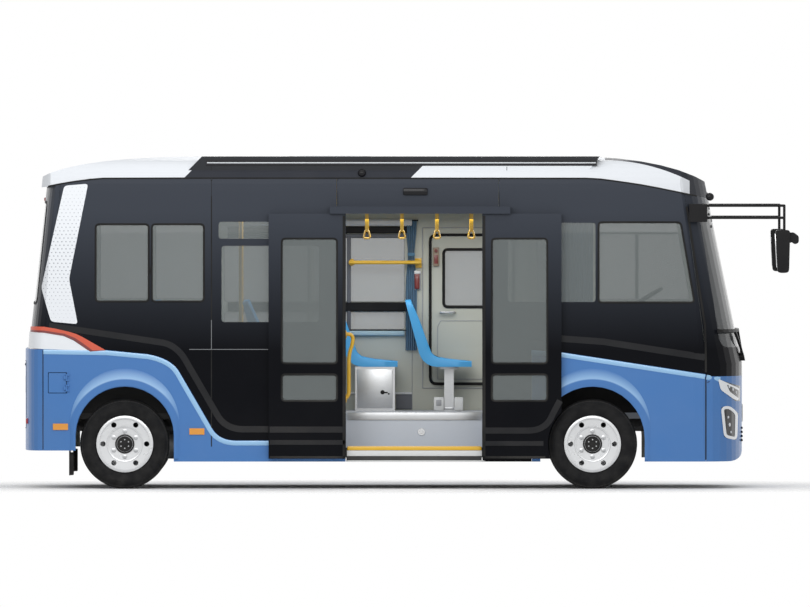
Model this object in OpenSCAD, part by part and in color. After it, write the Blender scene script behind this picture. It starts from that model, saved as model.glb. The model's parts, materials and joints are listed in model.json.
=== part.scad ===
// Electric minibus with twin sliding entrance leaves, standing with its entrance open.
// Frame: +X to the front, +Y to the driver's left, +Z up, ground at zero, millimetres.

/* [Body] */
// Length of the body between its two ends
body_l = 5990; // [5700:10:6300]
// Width over the side walls
body_w = 2080; // [2000:10:2200]
// Height of the roof over the ground
roof_z = 2764; // [2680:2:2850]
// Thickness of the side, front and rear walls
wall = 45; // [35:1:55]
// Thickness of the roof
roof_t = 50; // [40:1:60]
// How far each wall leans in from the belt up to the roof edge
tumble = 52; // [30:1:70]
// How far each wall tucks in at its lower edge
tuck = 16; // [5:1:25]
// How far the nose curves back from its middle to the side walls
nose_depth = 480; // [380:5:560]
// How far the tail curves forward from its middle to the side walls
tail_depth = 260; // [200:5:340]
// Rake of the windscreen from the vertical, in degrees
screen_rake = 11.7; // [9:0.1:14]
// Rake of the rear window from the vertical, in degrees
tail_rake = 6.3; // [4:0.1:8]
// Width of the joint line between two panels
seam = 4; // [2:0.5:6]

/* [Glass] */
// Thickness of the window panes
glass_t = 8; // [5:0.5:12]
// How far the panes lie back from the outer skin
glass_set = 3; // [1:0.5:6]
// Corner radius of the windows
window_r = 28; // [15:1:40]

/* [Floor] */
// Height of the cabin floor over the ground
floor_z = 626; // [610:1:650]
// Thickness of the floor deck
floor_t = 50; // [40:1:60]
// Height of the entrance step's tread over the ground
tread_z = 342; // [320:1:370]
// Depth of the entrance step from the side wall inwards
step_depth = 330; // [280:5:380]
// Sheet thickness of the step well and the wheel boxes
box_t = 12; // [8:1:18]

/* [Wheels] */
// Outer radius of the tyres
tyre_r = 372; // [360:1:380]
// Width of the tyres
tyre_w = 205; // [185:1:215]
// Radius of the wheel rims where the tyres sit
rim_r = 222; // [210:1:232]
// How far the tyres stand in from the side walls
tyre_inset = 20; // [10:1:40]
// Radius of the front wheel arches
arch_front_r = 434; // [425:1:445]
// Radius of the rear wheel arches
arch_rear_r = 408; // [400:1:420]
// Inner clear width of the front wheel boxes, from the side wall
box_front_w = 450; // [430:5:470]
// Inner clear width of the rear wheel boxes, from the side wall
box_rear_w = 220; // [210:5:260]
// Radius of the stub axles
stub_r = 32; // [26:1:38]
// Radius of the king pins
kingpin_r = 20; // [16:1:24]
// How far the king pins stand in from the middle of the tyres
kingpin_offset = 70; // [64:1:80]

/* [Entrance] */
// Thickness of the sliding leaves
leaf_t = 40; // [32:1:46]
// Gap between the side wall and a leaf that is slid open
leaf_gap = 18; // [12:1:26]
// Height of the rail that the leaves hang on
rail_h = 60; // [45:1:75]

/* [Seats] */
// Width of a seat shell
seat_w = 420; // [390:5:425]
// Thickness of a seat shell
seat_t = 28; // [20:1:36]
// Height of a seat shell's pan over the floor
seat_z = 372; // [350:1:400]
// Radius of the grab rails
rail_r = 16; // [14:0.5:20]

/* [Chassis] */
// Width of a chassis rail
chassis_w = 70; // [60:1:80]
// Height of a chassis rail
chassis_h = 106; // [90:1:110]
// Distance from the middle to a chassis rail's inner face
chassis_y = 380; // [350:5:400]
// Radius of the rear axle's tube
axle_r = 62; // [52:1:68]

/* [Hidden] */
$fn = 48;

// Overrun of every cut past the faces that it opens
overrun = 60;
// Gap between two pieces that sit on each other without being fixed
fit_gap = 0.3;
// Gap all round a piece that swings in its opening
swing_gap = 8;
half_w = body_w / 2;
// Points along each rounded stretch of an outline
arc_steps = 8;

// Foremost point, at the mirrors; the frame's origin stands midway between it and the tail
tip_share = 1.076;
function along(share) = (share - tip_share / 2) * body_l;
function up(share) = share * roof_z;
function spot(pair) = [along(pair[0]), up(pair[1])];
function spots(table) = [for (pair = table) spot(pair)];

// Points of a curve that leaves a towards b and arrives at c from b
function bend(a, b, c, steps = arc_steps) = [for (i = [0 : steps])
    let (t = i / steps) (1 - t) * (1 - t) * a + 2 * t * (1 - t) * b + t * t * c];

// The same curve through three places given as shares
function bow(table, steps = arc_steps) = bend(spot(table[0]), spot(table[1]), spot(table[2]), steps);

// Corner points of an outline, each rounded over the length r of both its edges
function rounded(points, r, steps = 4) = let (n = len(points)) [for (i = [0 : n - 1])
    let (p = points[i], before = points[(i + n - 1) % n], after = points[(i + 1) % n],
        a = p + (before - p) * min(r / norm(before - p), 0.5),
        c = p + (after - p) * min(r / norm(after - p), 0.5))
    each bend(a, p, c, steps)];

function box_points(x0, x1, z0, z1) = [[x0, z0], [x1, z0], [x1, z1], [x0, z1]];

// Quarter of a rounded nose or tail in plan, from its middle out to the side wall
function end_curve(depth, width, power, steps = 10) = [for (i = [0 : steps])
    let (a = 90 * i / steps) [depth * (pow(cos(a), 2 / power) - 1), width * pow(sin(a), 2 / power)]];

function mirror_y(points) = [for (p = points) [p[0], -p[1]]];
function reversed(points) = [for (i = [len(points) - 1 : -1 : 0]) points[i]];

// Roundness of the nose and of the tail in plan
nose_power = 3;
tail_power = 4;

// Heights of the side wall's bends: lower tuck, belt, and the roof edge
tuck_share = 0.200;
belt_share = 0.416;
cant_share = 0.897;
// Where the roof's rounded edge meets its crown, as a share of the half width and of the height
crown_y_share = 0.76;
crown_share = 0.989;

function section_half(inset, base) = let (w = half_w - inset, top = roof_z - inset * roof_t / wall)
    concat([[0, base], [w - tuck, base], [w, up(tuck_share)], [w, up(belt_share)]],
        bend([w - tumble, up(cant_share) - inset], [w - tumble, up(crown_share) - roof_t * inset / wall],
            [w * crown_y_share, top - roof_z * (1 - crown_share)]),
        bend([w * crown_y_share, top - roof_z * (1 - crown_share)], [w * crown_y_share / 2, top], [0, top],
            arc_steps / 2));

// Solid inside the walls' and roof's cross section, for the whole length
module section_prism(inset, base) {
    half = section_half(inset, base);
    translate([along(0) - overrun, 0, 0]) rotate([90, 0, 90]) linear_extrude(body_l + 2 * overrun)
        polygon(concat(half, reversed(mirror_x(half))));
}
function mirror_x(points) = [for (p = points) [-p[0], p[1]]];

// Roof line at the tail and at the front, and the lower edge, as shares of length and height
roof_tail_shares = [[0.0223, 0.9366], [0.075, 1], [0.2521, 1]];
roof_front_shares = [[0.76, 1], [0.905, 1], [0.968, 0.895]];
tail_base_share = 0.1148;
sill_share = 0.0816;
sill_z = up(sill_share);
bumper_shares = [[0.978, 0.0816], [0.999, 0.0816], [1, 0.118]];

module profile_prism(inset, base) {
    drop = [0, inset * roof_t / wall];
    tail = [for (p = bow(roof_tail_shares)) p - drop];
    front = [for (p = bow(roof_front_shares)) p - drop];
    lower = inset > 0 ? [[along(1) + overrun, base], [along(0) - overrun, base]]
        : concat([[along(1) + overrun, up(bumper_shares[2][1])]],
            reversed(bow(bumper_shares)),
            [spot([rear_axle_share, sill_share]), spot([rear_axle_share, tail_base_share]),
                [along(0) - overrun, up(tail_base_share)]]);
    rotate([90, 0, 0]) linear_extrude(body_w + 2 * overrun, center = true)
        polygon(concat([[along(0) - overrun, tail[0][1] - overrun]], tail, front,
            [[along(1) + overrun, front[len(front) - 1][1] - overrun]], lower));
}

// How far the nose and the tail would run past the side walls, where these cut them
plan_over = 4;
// Nose and tail in plan, upright
module plan_prism(inset) {
    w = half_w - inset + plan_over;
    nose = [for (p = end_curve(nose_depth, w, nose_power)) [along(1) - inset + p[0], p[1]]];
    tail = [for (p = end_curve(tail_depth, w, tail_power)) [along(0) + inset - p[0], p[1]]];
    half = concat(nose, reversed(tail));
    translate([0, 0, -overrun]) linear_extrude(roof_z + 2 * overrun)
        polygon(concat(half, reversed(mirror_y(half))));
}

// Raked end in plan: the windscreen's curve or the rear window's, leaning about its foot
module raked_prism(inset, foot, lean, depth, power, facing) {
    w = half_w - inset + 2 * plan_over;
    curve = [for (p = end_curve(depth, w, power)) [facing * (p[0] - inset), p[1]]];
    back = -facing * body_l * 2;
    half = concat(curve, [[back, w]]);
    translate([foot[0], 0, foot[1]]) rotate([0, -facing * lean, 0])
        linear_extrude(roof_z * 2, center = true) polygon(concat(half, reversed(mirror_y(half))));
}
screen_foot_share = [0.9905, 0.4773];
tail_foot_share = [0.0070, 0.4622];
// How far the roof's rear lip stands past the rear window
roof_lip = 44;

module body_solid(inset = 0, raked = true, lip = 0) {
    base = inset > 0 ? -overrun : 0;
    intersection() {
        section_prism(inset, base);
        profile_prism(inset, base);
        plan_prism(inset);
        raked_prism(inset, spot(screen_foot_share), screen_rake, nose_depth, nose_power, 1);
        if (raked)
            raked_prism(inset, spot(tail_foot_share) - [lip, 0], tail_rake, tail_depth, tail_power, -1);
    }
}

// Layer of the body's skin between two depths under its outer face
module skin(outer, inner, raked = true) {
    difference() {
        body_solid(outer, raked);
        body_solid(inner, raked);
    }
}

// Side view outline carried across one side of the bus: side is 1 for the left and -1 for the right
module side_prism(points, side, depth = half_w + overrun) {
    translate([0, side > 0 ? depth : 0, 0]) rotate([90, 0, 0]) linear_extrude(depth) polygon(points);
}

// Side view outline carried across the whole width
module across(points) {
    rotate([90, 0, 0]) linear_extrude(body_w + 4 * overrun, center = true) polygon(points);
}

// Front view outline (Y, Z) carried along X between two stations
module lengthwise(points, x0, x1) {
    translate([x0, 0, 0]) rotate([90, 0, 90]) linear_extrude(x1 - x0) polygon(points);
}

// Places past both ends of the body, where cuts start and stop
rear_end_share = -0.03;
front_end_share = 1.03;
// Joint lines in the side view, as shares of length and height
roof_seam_shares = [[-0.03, 0.895], [0.030, 0.908], [0.092, 0.9335], [0.79, 0.9335], [0.86, 0.914],
    [0.92, 0.887], [0.96, 0.870], [1.03, 0.860]];
rear_seam_shares = [[0.0265, 0], [0.0265, 0.4199], [0.0524, 0.94]];
front_seam_shares = [[0.9471, 0], [0.9471, 0.4077], [0.9140, 0.94]];
// Edge between the blue rear quarter and the dark side, straight runs and two bends
swoosh_rear_shares = [[0.0265, 0.4199], [0.115, 0.417]];
swoosh_bend_shares = [[[0.172, 0.405], [0.2035, 0.393], [0.215, 0.355]],
    [[0.262, 0.18], [0.2715, 0.145], [0.295, 0.145]]];
swoosh_foot_share = 0.145;
// Upper edge of the blue front quarter
front_line_shares = [[0.705, 0.418], [0.7465, 0.4109], [0.9471, 0.3444]];
// Upright joints between the side panels
rear_joint_share = 0.2604;
front_joint_share = 0.705;
// Height of the joint between the nose's bumper and its dark upper mask
mask_share = 0.338;
// Heights of the tail lamps' lower and upper edges
tail_lamp_shares = [0.4199, 0.4653];
// The entrance: rear edge, front edge, and the rail's lower and upper edges
entrance_shares = [0.4471, 0.6365];
rail_z_share = 0.8278;
header_shares = [0.4345, 0.6588];
header_z = up(rail_z_share) + rail_h;
rail_shares = [0.4248, 0.6755];
// Gap between the rail and the skin beside the entrance
rail_gap = 12;
leaf_shares = [[0.3398, 0.4471], [0.6365, 0.7465]];
leaf_base_share = 0.0906;
// Side of the bus that has the entrance
entrance_side = -1;

// Swoosh line from the rear joint forward to a station
function swoosh(end_share) = concat(spots(swoosh_rear_shares),
    [for (b = swoosh_bend_shares) each bow(b)],
    [spot([end_share, swoosh_foot_share])]);

// Dark side above the swoosh, from the rear joint to a station
function band_points(end_share) = concat(swoosh(end_share),
    [spot([end_share, rear_seam_shares[2][1]]), spot(rear_seam_shares[2])]);
// Blue rear quarter under the swoosh
function quarter_points(end_share) = concat([[along(rear_seam_shares[0][0]), 0], [along(end_share), 0]],
    reversed(swoosh(end_share)));
// Blue front quarter
function nose_quarter_points() = concat([[along(front_joint_share), 0], [along(front_seam_shares[0][0]), 0]],
    reversed(spots(front_line_shares)));
// Dark side above the front quarter, from a station to the front joint
function front_band_points(start_share, base_share) = concat([spot([start_share, base_share])],
    base_share > 0 ? [] : [[along(front_joint_share), 0]],
    spots(front_line_shares), [spot(front_seam_shares[1]), spot(front_seam_shares[2]),
        spot([start_share, front_seam_shares[2][1]])]);

// Everything under the roof's joint line
module under_roof() {
    across(concat([[along(rear_end_share), -overrun], [along(front_end_share), -overrun]],
        reversed(spots(roof_seam_shares))));
}
// Everything between two upright joints
module between(start_share, end_share) {
    x0 = along(start_share) + seam / 2;
    x1 = along(end_share) - seam / 2;
    translate([x0, -body_w, -overrun]) cube([x1 - x0, 2 * body_w, roof_z + 2 * overrun]);
}

// One wall panel: its side view outline cut from the body's walls
module wall_panel(points, side, start_share, end_share, raked = true) {
    intersection() {
        skin(0, wall, raked);
        side_prism(points, side);
        under_roof();
        between(start_share, end_share);
    }
}

// Windows of the right side: rear edge, front edge, lower edge, upper edge, and the front edge's slope
right_window_shares = [[0.1003, 0.1727, 0.565, 0.7946, 0], [0.1783, 0.2493, 0.565, 0.7946, 0],
    [0.2744, 0.4095, 0.5015, 0.7311, 0], [0.2702, 0.4095, 0.7523, 0.8036, 0],
    [0.672, 0.7939, 0.5619, 0.8006, 0], [0.7987, 0.9304, 0.5619, 0.8006, 0.0188]];
// Windows of the left side, in the same columns
left_window_shares = [[0.1003, 0.1727, 0.565, 0.7946, 0], [0.1783, 0.2493, 0.565, 0.7946, 0],
    [0.2744, 0.394, 0.5559, 0.7523, 0], [0.2744, 0.394, 0.4713, 0.5257, 0],
    [0.4, 0.5292, 0.5559, 0.7523, 0], [0.4, 0.5292, 0.4713, 0.5257, 0],
    [0.7150, 0.7939, 0.5619, 0.8006, 0], [0.7987, 0.9304, 0.5619, 0.8006, 0.0188]];

function window_points(row) = rounded([spot([row[0], row[2]]), spot([row[1], row[2]]),
    spot([row[1] - row[4], row[3]]), spot([row[0], row[3]])], window_r);

module window_cuts(table, side) {
    for (row = table) side_prism(window_points(row), side);
}

module panes(table, side) {
    intersection() {
        skin(glass_set, glass_set + glass_t);
        union() window_cuts(table, side);
    }
}

// Opening of the emergency door on the left side: rear, front, lower and upper edges
exit_shares = [0.5648, 0.6817, 0.3063, 0.7603];
exit_window_shares = [0.585, 0.6615, 0.5438, 0.713, 0];
exit_x = [along(exit_shares[0]), along(exit_shares[1])];
exit_z = [up(exit_shares[2]), up(exit_shares[3])];

// Upright box in the side view, taken in by a gap all round
function inner_points(x, z, gap, r) = rounded(box_points(x[0] + gap, x[1] - gap, z[0] + gap, z[1] - gap), r);
function exit_points(gap) = inner_points(exit_x, exit_z, gap, window_r);

// Flap over the charging socket on the right rear quarter: rear, front, lower and upper edges
lid_shares = [0.0334, 0.0599, 0.2870, 0.3505];
lid_x = [along(lid_shares[0]), along(lid_shares[1])];
lid_z = [up(lid_shares[2]), up(lid_shares[3])];
// Thickness of the flap and depth of the recess behind it
lid_t = 10;
recess_t = 32;

function lid_points(gap) = inner_points(lid_x, lid_z, gap, swing_gap);

module right_rear_panel() color("#1c1e24") difference() {
    wall_panel(band_points(entrance_shares[0]), -1, 0, rear_joint_share);
    window_cuts(right_window_shares, -1);
}
module right_mid_panel() color("#1c1e24") difference() {
    wall_panel(band_points(entrance_shares[0]), -1, rear_joint_share, entrance_shares[0]);
    window_cuts(right_window_shares, -1);
    header_cut();
}
module right_front_panel() color("#1c1e24") difference() {
    wall_panel(front_band_points(entrance_shares[1], 0), -1, entrance_shares[1], 1);
    window_cuts(right_window_shares, -1);
    header_cut();
}
module header_cut() {
    side_prism(box_points(along(header_shares[0]) - seam / 2, along(header_shares[1]) + seam / 2,
        header_z - seam, roof_z), -1);
}
// Panel over the entrance, its lintel, and the rail that the two leaves hang on
module door_header() color("#2b2d33") union() {
    x = [along(header_shares[0]), along(entrance_shares[0]) + seam, along(entrance_shares[1]) - seam,
        along(header_shares[1])];
    rail_z = up(rail_z_share);
    intersection() {
        skin(0, wall);
        under_roof();
        side_prism([[x[0], header_z], [x[1], header_z], [x[1], rail_z], [x[2], rail_z], [x[2], header_z],
            [x[3], header_z], [x[3], roof_z], [x[0], roof_z]], -1);
    }
    rail_y = half_w - tumble + rail_gap;
    translate([along(rail_shares[0]), -half_w - leaf_gap - leaf_t, rail_z])
        cube([along(rail_shares[1]) - along(rail_shares[0]), half_w + leaf_gap + leaf_t - rail_y, rail_h]);
    difference() {
        translate([x[1] + seam, -rail_y - rail_gap, rail_z + seam])
            cube([x[2] - x[1] - 2 * seam, rail_gap + tumble, rail_h - 2 * seam]);
        body_solid(wall / 2);
    }
}

module left_rear_panel() color("#1c1e24") difference() {
    wall_panel(band_points(front_joint_share), 1, 0, rear_joint_share);
    window_cuts(left_window_shares, 1);
}
module left_mid_panel() color("#1c1e24") {
    difference() {
        wall_panel(band_points(front_joint_share), 1, rear_joint_share, front_joint_share);
        window_cuts(left_window_shares, 1);
        side_prism(exit_points(0), 1);
    }
    for (share = door_hinge_shares)
        hinge_outer(door_hinge_x, door_hinge_r, hinge_z(exit_z, share), wall);
}
module left_front_panel() color("#1c1e24") difference() {
    wall_panel(front_band_points(front_joint_share, front_line_shares[0][1]), 1, front_joint_share, 1);
    window_cuts(left_window_shares, 1);
}

// Heights and places of the wheel arches
rear_axle_share = 0.14;
front_axle_share = 0.7897;
arch_top_share = 0.3075;
rear_axle_x = along(rear_axle_share);
front_axle_x = along(front_axle_share);

// Arch opening about an axle: a round top over straight legs
function arch_points(x, r) = let (z = up(arch_top_share) - r) concat([[x - r, -overrun], [x + r, -overrun]],
    [for (i = [0 : 2 * arc_steps]) let (a = 90 * i / arc_steps) [x + r * cos(a), z + r * sin(a)]]);

module quarters(side, end_share) {
    difference() {
        union() {
            wall_panel(quarter_points(end_share), side, 0, end_share, false);
            wall_panel(nose_quarter_points(), side, front_joint_share, 1, false);
        }
        side_prism(arch_points(rear_axle_x, arch_rear_r), side);
        side_prism(arch_points(front_axle_x, arch_front_r), side);
    }
}
module right_quarters() color("#4a7cba") {
    difference() {
        quarters(-1, entrance_shares[0]);
        translate([0, -half_w + recess_t - half_w, 0]) side_prism(lid_points(0), 1, half_w);
    }
    mirror([0, 1, 0]) for (share = lid_hinge_shares)
        hinge_outer(lid_hinge_x, lid_hinge_r, hinge_z(lid_z, share), lid_t);
}
module left_quarters() color("#4a7cba") quarters(1, front_joint_share);

// Everything behind the rear joint or ahead of the front joint, between two heights
function behind_points(z0, z1) = let (s = rear_seam_shares) [[along(rear_end_share), z0],
    [along(s[0][0]) - seam / 2, z0], [along(s[1][0]) - seam / 2, max(z0, min(z1, up(s[1][1])))],
    [slant(s, z1) - seam / 2, z1], [along(rear_end_share), z1]];
function ahead_points(z0, z1) = let (s = front_seam_shares, x = along(front_end_share)) [[x, z0], [x, z1],
    [slant(s, z1) + seam / 2, z1], [along(s[1][0]) + seam / 2, max(z0, min(z1, up(s[1][1])))],
    [along(s[0][0]) + seam / 2, z0]];
// Station of a joint line at a height
function slant(s, z) = let (t = max(0, (z - up(s[1][1])) / (up(s[2][1]) - up(s[1][1]))))
    along(s[1][0]) + t * (along(s[2][0]) - along(s[1][0]));

// Rear window: half width at its foot and head as shares of the half width, then foot and head heights
rear_window_share = [0.80, 0.76, 0.56, 0.86];
// Windscreen, in the same columns
screen_share = [0.90, 0.82, 0.425, 0.858];
screen_r = 90;
// How far forward the tail's cuts reach, and how far back the nose's
tail_end_share = 0.1;
nose_start_share = 0.85;

function end_window_points(row) = rounded([[-row[0] * half_w, up(row[2])], [row[0] * half_w, up(row[2])],
    [row[1] * half_w, up(row[3])], [-row[1] * half_w, up(row[3])]], screen_r);

module rear_window_cut()
    lengthwise(end_window_points(rear_window_share), along(rear_end_share), along(tail_end_share));
module screen_cut()
    lengthwise(end_window_points(screen_share), along(nose_start_share), along(front_end_share));

// Share of the half width beyond which the tail lamps wrap the corners
tail_lamp_share = 0.62;
module tail_lamp_cut() {
    for (side = [-1, 1]) intersection() {
        across(behind_points(up(tail_lamp_shares[0]), up(tail_lamp_shares[1])));
        translate([along(rear_end_share), side > 0 ? tail_lamp_share * half_w : -half_w - overrun, 0])
            cube([body_l / 2, (1 - tail_lamp_share) * half_w + overrun, roof_z]);
    }
}
module rear_wall() color("#15171b") difference() {
    intersection() {
        skin(0, wall);
        across(behind_points(up(tail_lamp_shares[0]), roof_z));
        under_roof();
    }
    rear_window_cut();
    tail_lamp_cut();
}
module tail_lamps() color("#c8322a") intersection() {
    skin(0, wall);
    tail_lamp_cut();
}
module rear_bumper() color("#4a7cba") intersection() {
    skin(0, wall, false);
    across(behind_points(0, up(tail_lamp_shares[0])));
}
module rear_glass() color("#3a4046") intersection() {
    skin(glass_set, glass_set + glass_t);
    rear_window_cut();
}
module front_mask() color("#15171b") difference() {
    intersection() {
        skin(0, wall);
        across(ahead_points(up(mask_share), roof_z));
        under_roof();
    }
    screen_cut();
}
module windscreen() color("#50585e") intersection() {
    skin(glass_set, glass_set + glass_t);
    screen_cut();
}
// Outlines of the headlamp and of the fog lamp in the side view
headlamp_shares = [[0.9640, 0.329], [0.9990, 0.305], [0.9990, 0.262], [0.9890, 0.262], [0.9680, 0.300]];
fog_lamp_shares = [[0.9690, 0.245], [0.9810, 0.247], [0.9930, 0.225], [0.9900, 0.145], [0.9730, 0.155]];
// Share of the half width inside which the nose keeps its bumper between the lamps
lamp_y_share = 0.5;
module lamp_cuts() {
    for (side = [-1, 1], outline = [headlamp_shares, fog_lamp_shares])
        translate([0, side * lamp_y_share * half_w, 0]) side_prism(spots(outline), side);
}
module front_bumper() color("#4a7cba") difference() {
    intersection() {
        skin(0, wall, false);
        across(ahead_points(0, up(mask_share)));
    }
    lamp_cuts();
}
module front_lamps() color("#d8dde2") intersection() {
    skin(0, wall, false);
    lamp_cuts();
}
module roof() color("#eef0f4") intersection() {
    difference() {
        body_solid(0, true, roof_lip);
        body_solid(wall);
    }
    across(concat(spots(roof_seam_shares), [[along(front_end_share), roof_z + overrun],
        [along(rear_end_share), roof_z + overrun]]));
}
module right_glass() color("#8a9694") panes(right_window_shares, -1);
module left_glass() color("#8a9694") panes(left_window_shares, 1);

// Dark fairings along both roof edges, as a side view outline and a share of the half width
fairing_shares = [[0.217, 0.9335], [0.247, 1], [0.800, 1], [0.776, 0.9335]];
fairing_y_share = [0.70, 0.915];
module roof_fairings() color("#22242a") difference() {
    for (side = [-1, 1]) intersection() {
        across(spots(fairing_shares));
        translate([along(0), side > 0 ? fairing_y_share[0] * half_w : -fairing_y_share[1] * half_w, 0])
            cube([body_l, (fairing_y_share[1] - fairing_y_share[0]) * half_w, roof_z]);
    }
    body_solid(0, true, roof_lip);
}

// White pierced plates on the rear corner posts
grille_shares = [[0.0376, 0.503], [0.0748, 0.4955], [0.0627, 0.6314], [0.0891, 0.9180], [0.0560, 0.9120],
    [0.0240, 0.6042]];
grille_t = 7;
module pillar_grilles() color("#eef0f4") for (side = [-1, 1]) intersection() {
    difference() {
        body_solid(-grille_t);
        body_solid(0);
    }
    side_prism(rounded(spots(grille_shares), window_r), side);
    translate([along(0) - body_l, side > 0 ? half_w / 2 : -half_w * 3 / 2, 0])
        cube([2 * body_l, half_w, roof_z]);
}
// Amber markers: rear, front, lower and upper edges
marker_shares = [[0.0404, 0.0613, 0.177, 0.196], [0.2298, 0.2507, 0.163, 0.182]];
marker_t = 9;
module side_markers() color("#e89a1c") for (side = [-1, 1], row = marker_shares) intersection() {
    difference() {
        body_solid(-marker_t, false);
        body_solid(0, false);
    }
    side_prism(box_points(along(row[0]), along(row[1]), up(row[2]), up(row[3])), side);
}

// Panes of the two leaves, in the columns of the window tables
leaf_pane_shares = [[0.3588, 0.4343, 0.3789, 0.7517, 0], [0.3588, 0.4343, 0.2659, 0.3429, 0],
    [0.6504, 0.7261, 0.3789, 0.7517, 0], [0.6504, 0.7261, 0.2659, 0.3429, 0]];
leaf_reach = half_w + leaf_gap + leaf_t + overrun;
module leaf_panes() {
    for (row = leaf_pane_shares) side_prism(window_points(row), entrance_side, leaf_reach);
}
module leaf(row) difference() {
    intersection() {
        difference() {
            section_prism(-leaf_gap - leaf_t, 0);
            section_prism(-leaf_gap, 0);
        }
        side_prism(box_points(along(row[0]), along(row[1]), up(leaf_base_share), up(rail_z_share)),
            entrance_side, leaf_reach);
    }
    leaf_panes();
    // Corner notched so that the steered tyre passes
    side_drum(front_axle_x, tyre_r, tyre_r, half_w, leaf_reach, entrance_side);
}
module door_leaf_rear() color("#24262d") leaf(leaf_shares[0]);
module door_leaf_front() color("#24262d") leaf(leaf_shares[1]);
module door_glass() color("#8a9694") intersection() {
    difference() {
        section_prism(glass_set - leaf_gap - leaf_t, 0);
        section_prism(glass_set + glass_t - leaf_gap - leaf_t, 0);
    }
    leaf_panes();
}

// The emergency door and the charging flap, each swinging about an upright hinge at its front edge
module emergency_door() color("#1c1e24") {
    difference() {
        intersection() {
            skin(0, wall);
            side_prism(exit_points(swing_gap), 1);
        }
        side_prism(window_points(exit_window_shares), 1);
    }
    for (share = door_hinge_shares)
        hinge_middle(door_hinge_x, door_hinge_r, hinge_z(exit_z, share), wall);
}
module emergency_glass() color("#8a9694") intersection() {
    skin(glass_set, glass_set + glass_t);
    side_prism(window_points(exit_window_shares), 1);
}
module charge_lid() color("#4a7cba") {
    translate([0, -half_w + lid_t - half_w, 0]) intersection() {
        side_prism(lid_points(lid_gap), 1, half_w);
        translate([-body_l, half_w - lid_t, 0]) cube([2 * body_l, lid_t, roof_z]);
    }
    mirror([0, 1, 0]) for (share = lid_hinge_shares)
        hinge_middle(lid_hinge_x, lid_hinge_r, hinge_z(lid_z, share), lid_t);
}

// Barrel hinges outside the skin: what swings has the middle barrel, bored for the pin, and what carries it
// has the two outer barrels and the pin
door_hinge_r = 12;
lid_hinge_r = 7;
door_hinge_shares = [0.12, 0.62];
lid_hinge_shares = [0.25, 0.75];
// Gap between the skin and the barrels
hinge_rise = 6;
// Radius of the pin, length of a barrel and length of a strap, as shares of the barrel's radius
pin_share = 0.5;
barrel_share = 4;
strap_share = 3.5;
lid_gap = 6;
door_hinge_x = exit_x[1] - swing_gap / 2;
lid_hinge_x = lid_x[1] - lid_gap / 2;
function hinge_z(span, share) = span[0] + (span[1] - span[0]) * share;
// One barrel from z0 up, its strap over the skin and the strap's root in the skin; towards is 1 to the front
module barrel(x, r, z0, h, towards, deep) {
    strap = strap_share * r;
    near = swing_gap / 4;
    translate([x, half_w + hinge_rise + r, z0]) cylinder(r = r, h = h);
    difference() {
        translate([towards > 0 ? x + near : x - strap, half_w - tumble, z0])
            cube([strap - near, tumble + hinge_rise + r, h]);
        body_solid(0);
    }
    difference() {
        translate([towards > 0 ? x + swing_gap : x - strap, half_w - tumble, z0])
            cube([strap - swing_gap, tumble + hinge_rise, h]);
        body_solid(deep / 2);
    }
}
module hinge_middle(x, r, z, deep) difference() {
    barrel(x, r, z - barrel_share * r / 2, barrel_share * r, -1, deep);
    hinge_pin(x, r, z, running);
}
module hinge_pin(x, r, z, gap) translate([x, half_w + hinge_rise + r, z])
    cylinder(r = r * pin_share + gap, h = 2 * barrel_share * r, center = true);
module hinge_outer(x, r, z, deep) {
    for (start = [z - barrel_share * r, z + barrel_share * r / 2 + fit_gap])
        barrel(x, r, start, barrel_share * r / 2 - fit_gap, 1, deep);
    hinge_pin(x, r, z, 0);
}

// Running clearance of a shaft in its bore
running = 0.05;
wheel_y = half_w - tyre_inset - tyre_w / 2;
kingpin_y = wheel_y - kingpin_offset;
// Gap between the arch's edge and the wheel box over it
box_gap = 20;
// Rows of the wheel boxes: axle station, arch radius, clear width
arch_rows = [[rear_axle_x, arch_rear_r, box_rear_w], [front_axle_x, arch_front_r, box_front_w]];
inner_w = half_w - wall;
deck_z = floor_z - floor_t;

// Cylinder across the bus on one side, from y0 outwards
module side_drum(x, z, r, y0, y1, side) {
    translate([x, side * (side > 0 ? y0 : y1), z]) rotate([-90, 0, 0])
        cylinder(r = r, h = y1 - y0);
}

// Room that a wheel takes up inside its box
module wheel_room(row, side) {
    z = up(arch_top_share) - row[1];
    r = row[1] + box_gap;
    side_drum(row[0], z, r, inner_w - row[2], half_w + overrun, side);
    translate([row[0] - r, side > 0 ? inner_w - row[2] : -half_w - overrun, -overrun])
        cube([2 * r, row[2] + wall + overrun, z + overrun]);
}
// Everything inside the body between two heights
module inside_between(z0, z1) intersection() {
    body_solid(wall);
    translate([-body_l, -half_w, z0]) cube([2 * body_l, body_w, z1 - z0]);
}
step_x = [along(entrance_shares[0]), along(entrance_shares[1])];
step_l = step_x[1] - step_x[0];
step_y = -inner_w + step_depth;

// Floor deck, cut out over the wheels and at the entrance step
module floor() color("#8b8f94") difference() {
    inside_between(deck_z, floor_z);
    for (row = arch_rows, side = [-1, 1]) wheel_room(row, side);
    translate([step_x[0], -half_w, 0]) cube([step_l, half_w + step_y, roof_z]);
}
// Boxes over the wheels, standing on the deck
module wheel_boxes() color("#8b8f94") for (row = arch_rows, side = [-1, 1]) difference() {
    intersection() {
        inside_between(floor_z, roof_z);
        side_drum(row[0], up(arch_top_share) - row[1], row[1] + box_gap + box_t,
            inner_w - row[2] - box_t, half_w, side);
    }
    wheel_room(row, side);
}
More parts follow.
